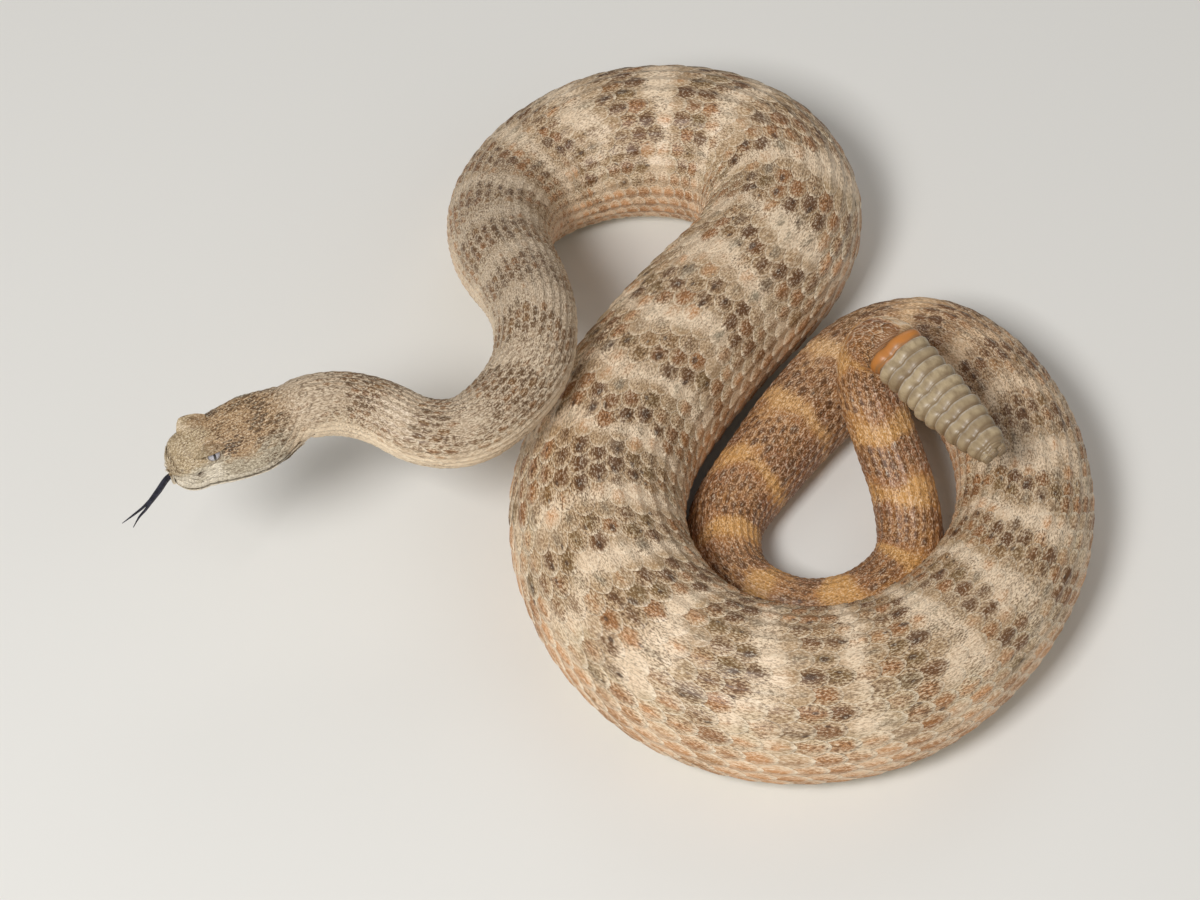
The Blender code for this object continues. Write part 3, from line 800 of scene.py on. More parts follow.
class Markings:
    """The look of any place on the animal, from the colours in the settings."""

    def __init__(self, spine, settings):
        self.spine = spine
        self.settings = settings
        self.s = np.linspace(-5.0, spine.length + 5.0, 3000)
        step = np.gradient(self.s)
        thickness = 0.9 + 0.1 * spine.radius(self.s) / 20.0
        self.bands = np.cumsum(step / (settings.band_spacing / MM * thickness))
        self.rows = np.cumsum(step / spine.pitch(self.s))

    def tint(self, name):
        return np.array(getattr(self.settings, name)[:])

    def lay(self, s, around):
        """Lengths along and across the body in mm, the long way squeezed, to draw streaks on."""
        across = from_back(around) * self.spine.radius(s)
        return np.stack([STREAK * s, across, np.zeros(len(s))], 1)

    def pattern(self, s, around):
        """Patches, and shares of band, its surround, flank, low flank, belly, neck and tail."""
        flat = self.lay(s, around) * (1 / STREAK, 1, 1)
        patch = blotches(flat, 4.0, 2) - 0.5
        wander = blotches(flat, 9.5, 1) - 0.5
        flank = np.abs(from_back(around)) / np.pi
        phase = np.interp(s, self.s, self.bands) + 0.4 * wander
        wave = 0.5 + 0.5 * np.cos(2 * np.pi * phase)
        band = smooth(*BAND_EDGE, wave + 0.4 * patch)
        around_band = smooth(*BAND_SURROUND, wave + 0.35 * patch)
        side = smooth(*FLANK_EDGE, flank + 0.3 * patch)
        low = smooth(*LOW_FLANK_EDGE, flank + 0.12 * patch)
        front = 1 - smooth(*NECK_EDGE, s)
        rear = smooth(*(self.spine.length - edge for edge in TAIL_EDGE), s)
        return patch, band, around_band, side, low, smooth(*BELLY_EDGE, flank), front, rear

    def ground(self, s, around):
        """Colour between the marks, which runs on from scale to scale."""
        patch, _, around_band, side, low, belly, front, rear = self.pattern(s, around)
        tint = self.tint
        share = around_band * (0.85 + 0.4 * patch)
        ground = between(tint("pale_band"), tint("between_marks"), share)
        ground = between(ground, tint("flank"), side * (0.7 + 0.6 * patch))
        ground = between(ground, between(tint("low_flank"), tint("belly"), 0.6 * front), 0.8 * low)
        neck = tint("neck") * (1 - 0.14 * smooth(70.0, 120.0, s))[:, None]
        ground = between(ground, neck, front * (0.85 - 0.85 * low))
        share = around_band * (0.85 + 0.7 * patch) + 0.25 * side
        ground = between(ground, between(tint("tail"), tint("tail_shade"), share), rear)
        return between(ground, between(tint("belly"), tint("tail"), 0.7 * rear), belly)

    def body(self, s, around, seed):
        """The look of scales whose roots lie at lengths and angles."""
        patch, band, around_band, side, low, belly, front, rear = self.pattern(s, around)
        tint = self.tint
        kind = (seed * 7.3) % 1
        dark = between(tint("dark_mark"), tint("rust_mark"), smooth(0.4, 0.75, kind))
        dark = between(dark, tint("olive_mark"), 0.8 * smooth(0.8, 0.88, kind))
        light = between(tint("grey_mark"), tint("flank_spot"), smooth(0.55, 0.75, kind))
        mark = between(light, dark, np.maximum(band, 0.3 * around_band))
        spot = between(tint("flank_spot"), tint("rust_mark"), 0.45 * kind)
        spot = between(spot, tint("grey_mark"), smooth(0.7, 0.85, kind) * (1 - low))
        mark = between(mark, spot, side * (1 - 0.35 * band))
        neck = between(tint("neck_mark"), tint("rust_mark"), 0.5 * kind)
        mark = between(mark, neck, 0.7 * front * (1 - low))
        mark = between(mark, between(tint("tail_mark"), tint("rust_mark"), 0.5 * kind), 0.85 * rear)
        full = (0.36 + 0.16 * around_band + 0.4 * band) * (1 - side) + (0.8 + 0.05 * band) * side
        full = full + 0.5 * (seed - 0.5) - 0.2 * rear * (1 - band) - 0.12 * front * (1 - band)
        full = full * (1 - 0.92 * belly) * (1 - 0.75 * low * front)
        pepper = 0.68 + 0.2 * band - (0.4 + 0.2 * front) * low - 0.3 * belly + 0.6 * patch
        pepper = np.clip(pepper + 0.1 * front, 0.08, 1.0)
        dots = band * (1 - side) * smooth(0.4, 0.55, (seed * 3.7) % 1)
        dots = dots * (1 - 0.6 * front) * (1 - 0.5 * rear)
        return [self.ground(s, around), mark, np.clip(full, 0.0, 1.15), pepper, dots]

    def head(self, points, side, lip, seed):
        """Points are in the head's axes. Side runs from 0 on the crown to 1 under the chin."""
        tint = self.tint
        x = points[:, 0]
        patch = blotches(points, 2.2, 5)
        cheek = smooth(0.24, 0.36, side + 0.2 * (patch - 0.5))
        snout = smooth(21.0, 27.0, x + 4.0 * (patch - 0.5))
        chin = smooth(0.6, 0.66, side)
        ground = between(between(tint("crown"), tint("snout"), snout), tint("cheek"), cheek)
        ground = between(ground, tint("low_flank"), 0.6 * cheek * (1 - smooth(3.0, 10.0, x)))
        ground = between(ground, tint("lips"), 0.9 * snout * smooth(0.32, 0.4, side) * patch)
        pale = np.clip(chin * 0.85 + lip * 0.95, 0.0, 0.95) * (1 - 0.75 * smooth(28.0, 31.5, x))
        ground = between(ground, tint("lips"), pale)
        mark = between(tint("head_mark"), tint("neck_mark"), 0.5 * cheek)
        # The dark patch behind the eye.
        offset = (points * (1, 0, 0) + np.abs(points) * (0, 1, 1) - (20.4, 5.6, 5.2)) / (2.6, 2.0, 1.5)
        brow_patch = np.exp(-(offset ** 2).sum(axis=1))
        mark = between(mark, tint("dot"), 0.5 * brow_patch)
        back = 1 - smooth(14.0, 24.0, x)
        full = 0.4 + 0.65 * smooth(0.35, 0.6, patch) * (0.35 + 0.65 * back)
        full = full + 0.5 * (seed - 0.5) + 0.9 * brow_patch
        full = full * (1 - 0.85 * chin) * (1 - 0.6 * lip) * (1 - 0.4 * snout) * (1 - 0.4 * cheek)
        pepper = 0.7 + 0.3 * back + 0.4 * (patch - 0.5) - 0.6 * chin - 0.3 * lip - 0.2 * cheek
        look = [ground, mark, full, np.clip(pepper, 0.05, 1.0), np.zeros(len(side))]
        nape = self.body(np.zeros(len(side)), side * np.pi, seed)
        return mix_looks(nape, look, smooth(1.0, 10.0, x))


def paint(mesh, look, lay):
    """Gives the points of a mesh their look, and the places in mm that its grain is drawn on."""
    for name, values in zip(("ground", "mark", "amount", "pepper"), look):
        write(mesh, name, values)
    write(mesh, "dot", np.tile((9.0, 9.0, 0.0), (len(lay), 1)))     # too far off to show
    write(mesh, "lay", lay)


# Finishes


def linear(code):
    """Linear colour from sRGB in hex."""
    values = [int(code[i:i + 2], 16) / 255 for i in (0, 2, 4)]
    return tuple(c / 12.92 if c <= 0.04045 else ((c + 0.055) / 1.055) ** 2.4 for c in values)


def opaque(colour, strength=1.0):
    return (*(strength * c for c in colour), 1.0)


def new_finish(name, **constants):
    finish = bpy.data.materials.new(name)
    finish.use_nodes = True
    shader = finish.node_tree.nodes["Principled BSDF"]
    for key, value in constants.items():
        shader.inputs[key.replace("_", " ")].default_value = value
    return finish, finish.node_tree, shader


def clouded(tree, where, noise, edges, one, other):
    """A colour that drifts from one to the other by noise between two edges, and the noise."""
    cloud = node(tree, "ShaderNodeTexNoise", {"Vector": where, **noise})
    share = node(tree, "ShaderNodeMapRange", {
        "Value": cloud, "From Min": edges[0], "From Max": edges[1],
    })
    mixed = node(tree, "ShaderNodeMix", {0: share, 6: one, 7: other}, data_type="RGBA")
    return mixed.outputs[2], cloud


def painted(name, settings, smoothest, roughest, relief):
    """A finish from the look on the mesh's points, broken up by grain and peppered."""
    if name in bpy.data.materials:
        return bpy.data.materials[name]
    finish, tree, shader = new_finish(name)
    look = {
        key: node(tree, "ShaderNodeAttribute", attribute_name=key).outputs
        for key in ("lay", "ground", "mark", "amount", "pepper", "dot", "leaf")
    }
    grain, cloud = (
        node(tree, "ShaderNodeTexNoise", {
            "Vector": look["lay"]["Vector"], "Scale": 1 / size, "Detail": 2.0, "Roughness": rough,
        })
        for size, rough in ((GRAIN, 0.7), (GRAIN * 3.2, 0.6))
    )
    # The mark, which fills the scale from its middle and ends raggedly.
    uneven = node(tree, "ShaderNodeMath", {0: grain, 1: 0.9, 2: cloud}, operation="MULTIPLY_ADD")
    filled = node(tree, "ShaderNodeMath", {0: uneven, 1: look["amount"]["Fac"]}, operation="ADD")
    share = node(tree, "ShaderNodeMapRange", {
        "Value": filled, "From Min": 1.15, "From Max": 1.85,
    }, interpolation_type="SMOOTHSTEP")
    mixed = node(tree, "ShaderNodeMix", {
        0: share, 6: look["ground"]["Color"], 7: look["mark"]["Color"],
    }, data_type="RGBA")
    # Over it the scale's pale rim, part paler edge, part painted highlight; its dark dot; flecks and
    # specks.
    leaf = node(tree, "ShaderNodeSeparateXYZ", {0: look["leaf"]["Vector"]}).outputs
    across = node(tree, "ShaderNodeMath", {0: leaf["Y"]}, operation="ABSOLUTE")
    across = node(tree, "ShaderNodeMath", {0: across, 1: 0.06}, operation="ADD")
    rim = node(tree, "ShaderNodeMath", {0: leaf["X"], 1: across}, operation="MAXIMUM")
    away = node(tree, "ShaderNodeVectorMath", {0: look["dot"]["Vector"]}, operation="LENGTH")
    away = node(tree, "ShaderNodeMath", {
        0: grain, 1: 1.6, 2: away.outputs["Value"],
    }, operation="MULTIPLY_ADD")
    ink = node(tree, "ShaderNodeMath", {0: look["pepper"]["Fac"], 1: 0.9}, operation="MULTIPLY")
    for value, nothing, full, most, colour in (
        (rim, 0.84, 1.0, leaf["Z"], settings.fleck_and_edge_highlight),
        (away, 2.1, 1.5, 0.8, settings.dot),
        (grain, 0.47, 0.36, 0.45, settings.fleck_and_edge_highlight),
        (grain, 0.47, 0.62, ink, settings.pepper),
    ):
        share = node(tree, "ShaderNodeMapRange", {
            "Value": value, "From Min": nothing, "From Max": full, "To Max": most,
        })
        mixed = node(tree, "ShaderNodeMix", {
            0: share, 6: mixed.outputs[2], 7: opaque(colour),
        }, data_type="RGBA")
    tree.links.new(mixed.outputs[2], shader.inputs["Base Color"])
    rough = node(tree, "ShaderNodeMapRange", {
        "Value": cloud, "From Min": 0.3, "From Max": 0.7, "To Min": smoothest, "To Max": roughest,
    })
    tree.links.new(rough.outputs[0], shader.inputs["Roughness"])
    bump = node(tree, "ShaderNodeBump", {"Height": grain, "Strength": 0.4, "Distance": relief * MM})
    tree.links.new(bump.outputs[0], shader.inputs["Normal"])
    return finish


def scale_finish(settings):
    # Dry keratin, painted scale by scale: soft-edged marks broken by the grain, a pepper of dark
    # specks and a low, uneven sheen, so that the eye sees dusty living scales. The specks are
    # drawn 0.33 mm apart, about twice the real distance, so that they show in a picture of it all.
    return painted("dry painted scales", settings, 0.42, 0.6, 0.05)


def skin_finish(settings):
    # Thin bare skin between the scales: its colours carry painted shade of the gaps and hollows,
    # and it is duller than the scales, so that each scale's edge reads against it.
    return painted("bare skin between scales", settings, 0.6, 0.75, 0.03)


def horn_finish():
    # Dead horn, moulded in rings and worn smooth: faint cloudy growth marks drawn out along the
    # chain, a low polish, and painted highlight and shade: a thin bright line on each ring's edge,
    # dark waists.
    finish, tree, shader = new_finish("worn horn rings", Coat_Weight=0.15, Coat_Roughness=0.3)
    look = {
        key: node(tree, "ShaderNodeAttribute", attribute_name=key).outputs
        for key in ("lay", "ground", "mark")
    }
    noise = {"Scale": 1 / 1.6, "Detail": 5.0, "Roughness": 0.6}
    tones = look["ground"]["Color"], look["mark"]["Color"]
    colour, cloud = clouded(tree, look["lay"]["Vector"], noise, (0.4, 0.68), *tones)
    tree.links.new(colour, shader.inputs["Base Color"])
    rough = node(tree, "ShaderNodeMapRange", {"Value": cloud, "To Min": 0.3, "To Max": 0.5})
    tree.links.new(rough.outputs[0], shader.inputs["Roughness"])
    return finish


def eye_finish(settings):
    # Living eye: a grey iris with fine veins and an upright slit, under a clear wet surface that
    # gives the small sharp highlight.
    finish, tree, shader = new_finish(
        "wet living eye", Roughness=0.3, Coat_Weight=1.0, Coat_Roughness=0.03,
    )
    place = node(tree, "ShaderNodeAttribute", attribute_name="iris").outputs["Vector"]
    noise = {"Scale": 5.0, "Detail": 4.0}
    tones = opaque(settings.iris, 0.6), opaque(settings.iris)
    colour, _ = clouded(tree, place, noise, (0.38, 0.62), *tones)
    # The iris's dark edge, and the slit in its middle.
    for shape, nothing, full in (((1.0, 1.0, 0.0), 1.3, 1.6), ((3.3, 0.7, 0.0), 1.06, 0.92)):
        flat = node(tree, "ShaderNodeVectorMath", {0: place, 1: shape}, operation="MULTIPLY")
        away = node(tree, "ShaderNodeVectorMath", {0: flat}, operation="LENGTH").outputs["Value"]
        share = node(tree, "ShaderNodeMapRange", {
            "Value": away, "From Min": nothing, "From Max": full,
        })
        colour = node(tree, "ShaderNodeMix", {
            0: share, 6: colour, 7: opaque(settings.dot, 0.3),
        }, data_type="RGBA").outputs[2]
    tree.links.new(colour, shader.inputs["Base Color"])
    return finish


def tongue_finish(settings):
    # Wet muscle: near black with a blue cast, and a film of moisture that gives long highlights.
    finish, tree, shader = new_finish("wet tongue", Roughness=0.22, Coat_Weight=0.6)
    where = node(tree, "ShaderNodeTexCoord").outputs["Object"]
    tones = opaque(settings.tongue, 0.4), opaque(settings.tongue)
    colour, _ = clouded(tree, where, {"Scale": 1 / (1.5 * MM)}, (0.4, 0.6), *tones)
    tree.links.new(colour, shader.inputs["Base Color"])
    return finish


# The pieces


def attach(piece, slot, *nodes):
    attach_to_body(piece, "root")
    if nodes:
        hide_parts(*nodes)


def shapes(settings, stream=0):
    """The body's path, the head, the markings and one piece's own random draws."""
    spine = Spine()
    draw = np.random.default_rng(settings.seed + stream)
    return spine, Head(spine), Markings(spine, settings), draw


def build_skin(settings):
    """One closed skin from the snout to the end of the tail, under the coat of scales."""
    spine, head, markings, _ = shapes(settings)
    end = spine.length - 0.1
    s = np.linspace(0.0, end, round(spine.length / BODY_RING_STEP) + 1)[1:]
    around = 2 * np.pi * np.arange(SIDES) / SIDES
    lift = -np.broadcast_to(spine.coat(s)[:, None], (len(s), SIDES))
    along = np.repeat(s, SIDES).reshape(len(s), SIDES)
    body = spine.surface(along, np.tile(around, (len(s), 1)), lift)
    grid = np.concatenate([head.place(head.rings), body])
    rings = len(grid)
    tip = (HEAD_LENGTH - HEAD_COAT, 0.0, head_sizes(HEAD_LENGTH)[2])
    points = np.vstack([grid.reshape(-1, 3), head.place(tip), spine.end(0.1)])
    ring = np.arange(rings - 1)[:, None] * SIDES
    side = np.arange(SIDES)[None, :]
    after = (side + 1) % SIDES
    quads = [ring + side, ring + after, ring + SIDES + after, ring + SIDES + side]
    quads = np.stack(quads, -1).reshape(-1, 4)
    first, last = rings * SIDES, (rings - 1) * SIDES
    fans = [(first, (k + 1) % SIDES, k) for k in range(SIDES)]
    fans += [(last + k, last + (k + 1) % SIDES, first + 1) for k in range(SIDES)]
    mesh = bpy.data.meshes.new("skin")
    mesh.from_pydata((points * MM).tolist(), [], quads.tolist() + fans)
    mesh.shade_smooth()

    # Lengths along the animal, negative on the head, and turns round it, for each point.
    where = np.repeat(np.concatenate([-head.x, s]), SIDES)
    where = np.concatenate([where, [-HEAD_LENGTH, spine.length]])
    turn = np.concatenate([np.tile(around, rings), [np.pi / 2, 0.0]])
    total = len(where)
    on_head = where < 0
    local = np.zeros((total, 3))
    local[:head.rings.size // 3] = head.rings.reshape(-1, 3)
    local[-2] = tip
    middling = np.full(total, 0.5)
    share = np.minimum(turn, 2 * np.pi - turn) / np.pi
    back = np.maximum(where, 0.0)
    face = markings.head(local, share, np.zeros(total), middling)
    look = mix_looks(markings.body(back, turn, middling), face, on_head.astype(float))
    # Painted shade: the skin is darkened towards a shadow colour in the gaps, and more in the hollows.
    hollow_shade = np.zeros(total)
    hollow_shade[:head.hollow_shade.size] = head.hollow_shade.ravel()
    painted_shade = np.clip(0.25 + hollow_shade, 0.0, 0.97)
    shadow = markings.tint("pepper") * 0.6
    look = [between(look[0], shadow, painted_shade), between(look[1], shadow, painted_shade), look[2] * 0.6, look[3]]
    paint(mesh, look, np.where(on_head[:, None], local * HEAD_STREAK, markings.lay(back, turn)))
    share = (where + HEAD_LENGTH) / (spine.length + HEAD_LENGTH)
    bake_map(mesh, 0.01 + 0.98 * share, 0.01 + 0.98 * turn / (2 * np.pi))
    mesh.materials.append(skin_finish(settings))
    attach(new_object("skin", mesh), "skin", "head", *BODY_NODES)


def finish_coat(mesh, name, ground, lay, rim):
    """Paints each scale from its look, and maps it as a small patch where its root lies."""
    leaf, root, spot = (take(mesh, key, 3) for key in ("leaf", "root", "spot"))
    u, v = leaf[:, 0], leaf[:, 1]
    heart = np.exp(-((u - 0.62) / 0.36) ** 2 - (v / 0.62) ** 2)
    write(mesh, "amount", take(mesh, "amount", 1) * (0.15 + 0.95 * heart))
    write(mesh, "ground", ground)
    write(mesh, "leaf", np.stack([u, v, rim], 1))
    write(mesh, "lay", lay + root[:, :1] * (0.0, 0.0, 40.0))
    offset = np.stack([u - spot[:, 0], 0.55 * (v - spot[:, 1]), np.zeros(len(u))], 1)
    write(mesh, "dot", offset / spot[:, 2:])
    patch = np.stack([u - 0.5, v * 0.5], 1) * PATCH_SIZE
    bake_map(mesh, *np.clip(root[:, :2] * 0.99 + 0.005 + patch, 0.001, 0.999).T)
    attach(new_object(name, mesh), "skin")


def looks_for_points(look, draw):
    """A look as attributes of the points that scales are put on."""
    _, mark, full, pepper, dots = look
    count = len(full)
    size = (0.07 + 0.1 * draw.random(count)) * np.clip(dots, 0.5, 1.0)
    size = np.where(dots > 0.12, size, NO_DOT)
    spot = np.stack([draw.uniform(0.5, 0.88, count), draw.normal(0.0, 0.35, count), size], 1)
    return dict(mark=mark, amount=full, pepper=pepper, spot=spot)


def lay_coat(name, piece, markings, along, around, spacing, draw, start, end):
    """Lays scales flat by length and angle, and wraps them round the body."""
    spine = markings.spine
    count = len(along)
    seed = draw.random(count)
    along = along + draw.normal(0.0, 0.07, count)
    pitch = spine.pitch(along) * draw.uniform(0.95, 1.05, count)
    flat = np.zeros(count)
    points = np.stack([along, around, flat], 1)
    sizes = np.stack([pitch, np.full(count, spacing), pitch], 1)
    root = np.stack([(along - start) / (end - start), around / (2 * np.pi) % 1.0, flat], 1)
    looks = looks_for_points(markings.body(along, around, seed), draw)
    still = np.tile((1.0, 0.0, 0.0, 0.0), (count, 1))
    finish = scale_finish(markings.settings)
    mesh = repeat(name, piece, finish, points, sizes, still, root=root, **looks)
    s, turn, height = places(mesh).T
    wrapped = spine.surface(s, turn, height - spine.coat(s))
    mesh.vertices.foreach_set("co", (wrapped * MM).astype(np.float32).ravel())
    mesh.update()
    # Lengths run back and angles to the left, so the wrap turns the scales inside out.
    mesh.flip_normals()
    _, _, around_band, side, _, _, front, rear = markings.pattern(s, turn)
    # Strength of each scale's pale rim, partly its paler edge and partly painted highlight.
    rim = np.clip(0.34 + 0.36 * side + 0.16 * around_band - 0.12 * front - 0.3 * rear, 0.12, 1.0)
    finish_coat(mesh, name, markings.ground(s, turn), markings.lay(s, turn), rim)


def build_coat(settings):
    """Rows of keeled scales from the nape to the rattle, in lengths."""
    spine, _, markings, draw = shapes(settings)
    cuts = [share * (spine.length - TAIL_COAT) for share in COAT_CUTS]
    cuts.append(spine.length - TAIL_COAT_ENDS)
    names = ("front_scales", "upper_scales", "middle_scales", "hind_scales", "tail_scales")
    for name, start, end in zip(names, cuts, cuts[1:]):
        rows = settings.tail_rows if name == "tail_scales" else settings.scale_rows
        spacing = 2 * DORSAL_REACH / (rows - 1)
        low, high = np.interp((start, end), markings.s, markings.rows)
        along, around = [], []
        for row in range(rows):
            half = 0.5 * (row % 2)
            phase = np.arange(math.ceil(low - half), math.ceil(high - half)) + half
            along.append(np.interp(phase, markings.rows, markings.s))
            around.append(np.full(len(phase), (row - (rows - 1) / 2) * spacing))
        along, around = np.concatenate(along), np.concatenate(around)
        lay_coat(name, keeled_scale(), markings, along, around, spacing, draw, start, end)


def build_belly(settings):
    """Broad plates across the belly, one for each crosswise row of scales."""
    spine, _, markings, draw = shapes(settings, 1)
    low, high = np.interp((0.0, spine.length - 1.0), markings.s, markings.rows)
    along = np.interp(np.arange(math.ceil(low), math.ceil(high)), markings.rows, markings.s)
    around = np.full(len(along), np.pi)
    reach = np.pi - DORSAL_REACH + BELLY_OVERLAP
    plates = belly_plate()
    lay_coat("belly_plates", plates, markings, along, around, reach, draw, 0.0, spine.length)


def head_scale_places(head):
    """Small scales over the crown, cheeks and throat: point, normal, direction, length, side."""
    result = []
    reach, row = 0.9, 0
    while True:
        x = head.back_from_snout(SHOULDER, reach)
        if x < 0.4:
            return result
        pitch = 1.15 + 1.25 * float(smooth(25.0, 1.0, x))
        arcs = head.arcs(x)
        upper_end = arcs[LIP] - 1.5 * mouth_share(x)
        lower_start = arcs[LIP + 2] + 1.6 * mouth_share(x)
        step = 1.06 * pitch
        offset = 0.5 * step * (row % 2)
        while offset < arcs[HALF]:
            side = float(np.interp(offset, arcs, np.arange(HALF + 1)))
            middle = offset == 0 or side > HALF - 0.2
            for where in ((side,) if middle else (side, SIDES - side)):
                point, normal = head.sample(x, where)
                plain = point * (1, np.sign(point[1]), 1)
                near_eye = np.linalg.norm(plain - EYE_CENTRE) < EYE_RADIUS + 0.8
                hollow = side < LIP and any(
                    math.hypot(point[0] - forward, point[2] - height) < radius + 0.35
                    for forward, height, radius, _ in HOLLOWS
                )
                if not (upper_end < offset < lower_start or near_eye or hollow):
                    result.append((point, normal, head.backward(x, where), pitch, side / HALF))
            offset += step
        reach += pitch / 2
        row += 1


def put_on_head(name, piece, head, markings, draw, rows):
    """Puts plates on the head from rows of point, normal, direction, size, side and lip."""
    points, normals, tangents, sizes, side, lip = (np.array(column, float) for column in zip(*rows))
    seed = draw.random(len(rows))
    facing = quaternions(head.turn(tangents), head.turn(normals))
    look = markings.head(points, side, lip, seed)
    looks = looks_for_points(look, draw)
    across = np.where(points[:, 1] < 0, 1 - side / 2, side / 2)
    root = np.stack([points[:, 0] / HEAD_LENGTH, across, np.zeros(len(rows))], 1)
    values = dict(root=root, tone=look[0], **looks)
    finish = scale_finish(markings.settings)
    mesh = repeat(name, piece, finish, head.place(points), sizes, facing, **values)
    lay = (places(mesh) - head.origin) @ head.axes.T * HEAD_STREAK
    # An even pale rim on the head's plates, partly paler edge and partly painted highlight.
    finish_coat(mesh, name, take(mesh, "tone", 3), lay, np.full(len(lay), 0.25))


def build_head_scales(settings):
    """Small scales over the head, getting larger towards the neck."""
    _, head, markings, draw = shapes(settings, 2)
    rows = []
    for point, normal, backward, pitch, side in head_scale_places(head):
        pitch = pitch * draw.uniform(0.92, 1.08)
        rear = 1 - float(smooth(1.0, 9.0, point[0]))
        under = float(smooth(0.55, 0.7, side))
        length = pitch * (1 - 0.2 * rear) * (1 - 0.15 * under)
        thickness = pitch * (1 - 0.45 * rear) * (1 - 0.4 * under) * draw.uniform(0.85, 1.1)
        point = point - normal * 0.12 * rear
        rows.append((point, normal, backward, (length, pitch * 0.55, thickness), side, 0.0))
    put_on_head("head_scales", small_scale(), head, markings, draw, rows)


def build_face_plates(settings):
    """Plates along both lips, on the snout's tip and in a ring round each eye."""
    _, head, markings, draw = shapes(settings, 3)
    rows = []
    for side, shift, count, lip in ((LIP, -0.7, 14, 0.45), (LIP + 2, 0.66, 13, 1.0)):
        for k in range(count):
            x = head.back_from_snout(side, 2.3 + 2.05 * k)
            if x < JAW_CORNER + 0.7:
                break
            arcs = head.arcs(x)
            middle = float(np.interp(arcs[side] + shift, arcs, np.arange(HALF + 1)))
            for where in (middle, SIDES - middle):
                size = (2.2, 0.84, 1.3)
                backward = head.backward(x, where)
                rows.append((*head.sample(x, where), backward, size, middle / HALF, lip))
    for side, back, size in ((0, 2.6, (1.6, 0.8, 0.9)), (HALF, 1.5, (1.4, 0.7, 0.8))):
        x = head.back_from_snout(side, back)
        rows.append((*head.sample(x, side), head.backward(x, side), size, side / HALF, 0.3))
    axis = unit(EYE_AXIS)
    first = unit(np.cross(axis, (0.0, 0.0, 1.0)))
    second = np.cross(axis, first)
    lean = EYE_OPENING + math.radians(14)
    ring = 15
    for k in range(ring):
        angle = 2 * math.pi * k / ring
        aside = first * math.cos(angle) + second * math.sin(angle)
        out = axis * math.cos(lean) + aside * math.sin(lean)
        if out[2] > 0.6:    # under the shield over the eye
            continue
        along = -first * math.sin(angle) + second * math.cos(angle)
        for sign in (1, -1):
            mirror = np.array((1, sign, 1))
            point = (EYE_CENTRE + out * (EYE_RADIUS + 0.1)) * mirror
            rows.append((point, out * mirror, along * mirror, (0.9, 0.38, 0.9), 0.3, 0.45))
    put_on_head("face_plates", lip_plate(), head, markings, draw, rows)


def build_brow_shields(settings):
    """The broad thin shield that stands out over each eye."""
    _, head, markings, _ = shapes(settings)
    us = (0.0, 0.04, 0.1, 0.2, 0.32, 0.45, 0.6, 0.75, 0.88, 0.96, 1.0)
    vs = (-1.0, -0.6, -0.2, 0.2, 0.6, 0.85, 0.96, 1.0)
    leaf = np.array([(u, v) for u in us for v in vs])
    u, v = leaf.T
    x = SHIELD_FRONT - SHIELD_LENGTH * u
    edges = (SHIELD_OUTER, SHIELD_INNER, SHIELD_RIM)
    outer, inner, rim = (np.interp(u, *zip(*edge)) for edge in edges)
    root = np.array([surface_height(a, b) for a, b in zip(x, inner)]) - 0.35
    share = (v + 1) / 2
    height = root + (rim - root) * share ** 0.75 - 0.15 * smooth(0.8, 1.0, share)
    points = np.stack([x, inner + (outer - inner) * share, height], 1)
    points = np.vstack([points, points * (1, -1, 1)])
    faces = plate_faces(len(us), len(vs))
    faces = faces + [tuple(k + len(leaf) for k in face) for face in faces]
    mesh = solid("brow_shields", head.place(points), faces, math.radians(60))
    count = len(points)
    look = markings.head(points, np.full(count, 0.15), np.zeros(count), np.full(count, 0.3))
    look[2] = np.tile(0.25 + 0.35 * np.exp(-((u - 0.6) / 0.3) ** 2 - v ** 2), 2)
    look[3] = look[3] * 0.5
    paint(mesh, look, points * HEAD_STREAK)
    bake_map(mesh, points[:, 0] / 40.0, 0.5 + points[:, 1] / 40.0)
    mesh.materials.append(scale_finish(settings))
    attach(new_object("brow_shields", mesh), "skin")


def build_eyes(settings):
    """Round eyes under clear wet surfaces, looking outward and a little up."""
    head = Head(Spine())
    finish = eye_finish(settings)
    for name, sign in (("left_eye", 1), ("right_eye", -1)):
        work = bmesh.new()
        bmesh.ops.create_uvsphere(work, u_segments=40, v_segments=28, radius=EYE_RADIUS)
        ball = np.array([v.co[:] for v in work.verts])
        faces = [tuple(v.index for v in face.verts) for face in work.faces]
        work.free()
        mirror = np.array((1, sign, 1))
        axis = unit(EYE_AXIS * mirror)
        ahead = unit(np.array((1.0, 0, 0)) - axis[0] * axis)
        mesh = solid(name + "_shown", head.place(EYE_CENTRE * mirror + ball), faces)
        write(mesh, "iris", np.stack([ball @ ahead, ball @ np.cross(axis, ahead), ball @ axis], 1))
        bake_map(mesh, *(0.5 + ball[:, :2] / 5.0).T)
        mesh.materials.append(finish)
        attach(new_object(name + "_shown", mesh), "eye", name)


def strand(head, rows, sides=14, steps=6):
    """Points and faces of a flat tapering strand, rounded through rows of place and half sizes."""
    guide = np.array([place for place, *_ in rows], float)
    guide = np.vstack([2 * guide[0] - guide[1], guide, 2 * guide[-1] - guide[-2]])
    half = np.array([row[1:] for row in rows])
    t = np.arange(steps) / steps
    curve, sizes = [], []
    for k in range(len(rows) - 1):
        curve.append(catmull(guide[k:k + 4], t))
        sizes.append(np.outer(1 - t, half[k]) + np.outer(t, half[k + 1]))
    curve = np.vstack(curve + [guide[-2:-1]])
    result = []
    for k, (width, thickness) in enumerate(np.vstack(sizes + [half[-1]])):
        ahead = unit(curve[min(k + 1, len(curve) - 1)] - curve[max(k - 1, 0)])
        side = unit(np.cross((0, 0, 1), ahead))
        top = np.cross(ahead, side)
        for step in range(sides):
            angle = 2 * math.pi * step / sides
            rim = side * width * math.cos(angle)
            result.append(curve[k] + rim + top * thickness * math.sin(angle))
    return head.place(np.array(result)), closed_loft(len(result), sides)


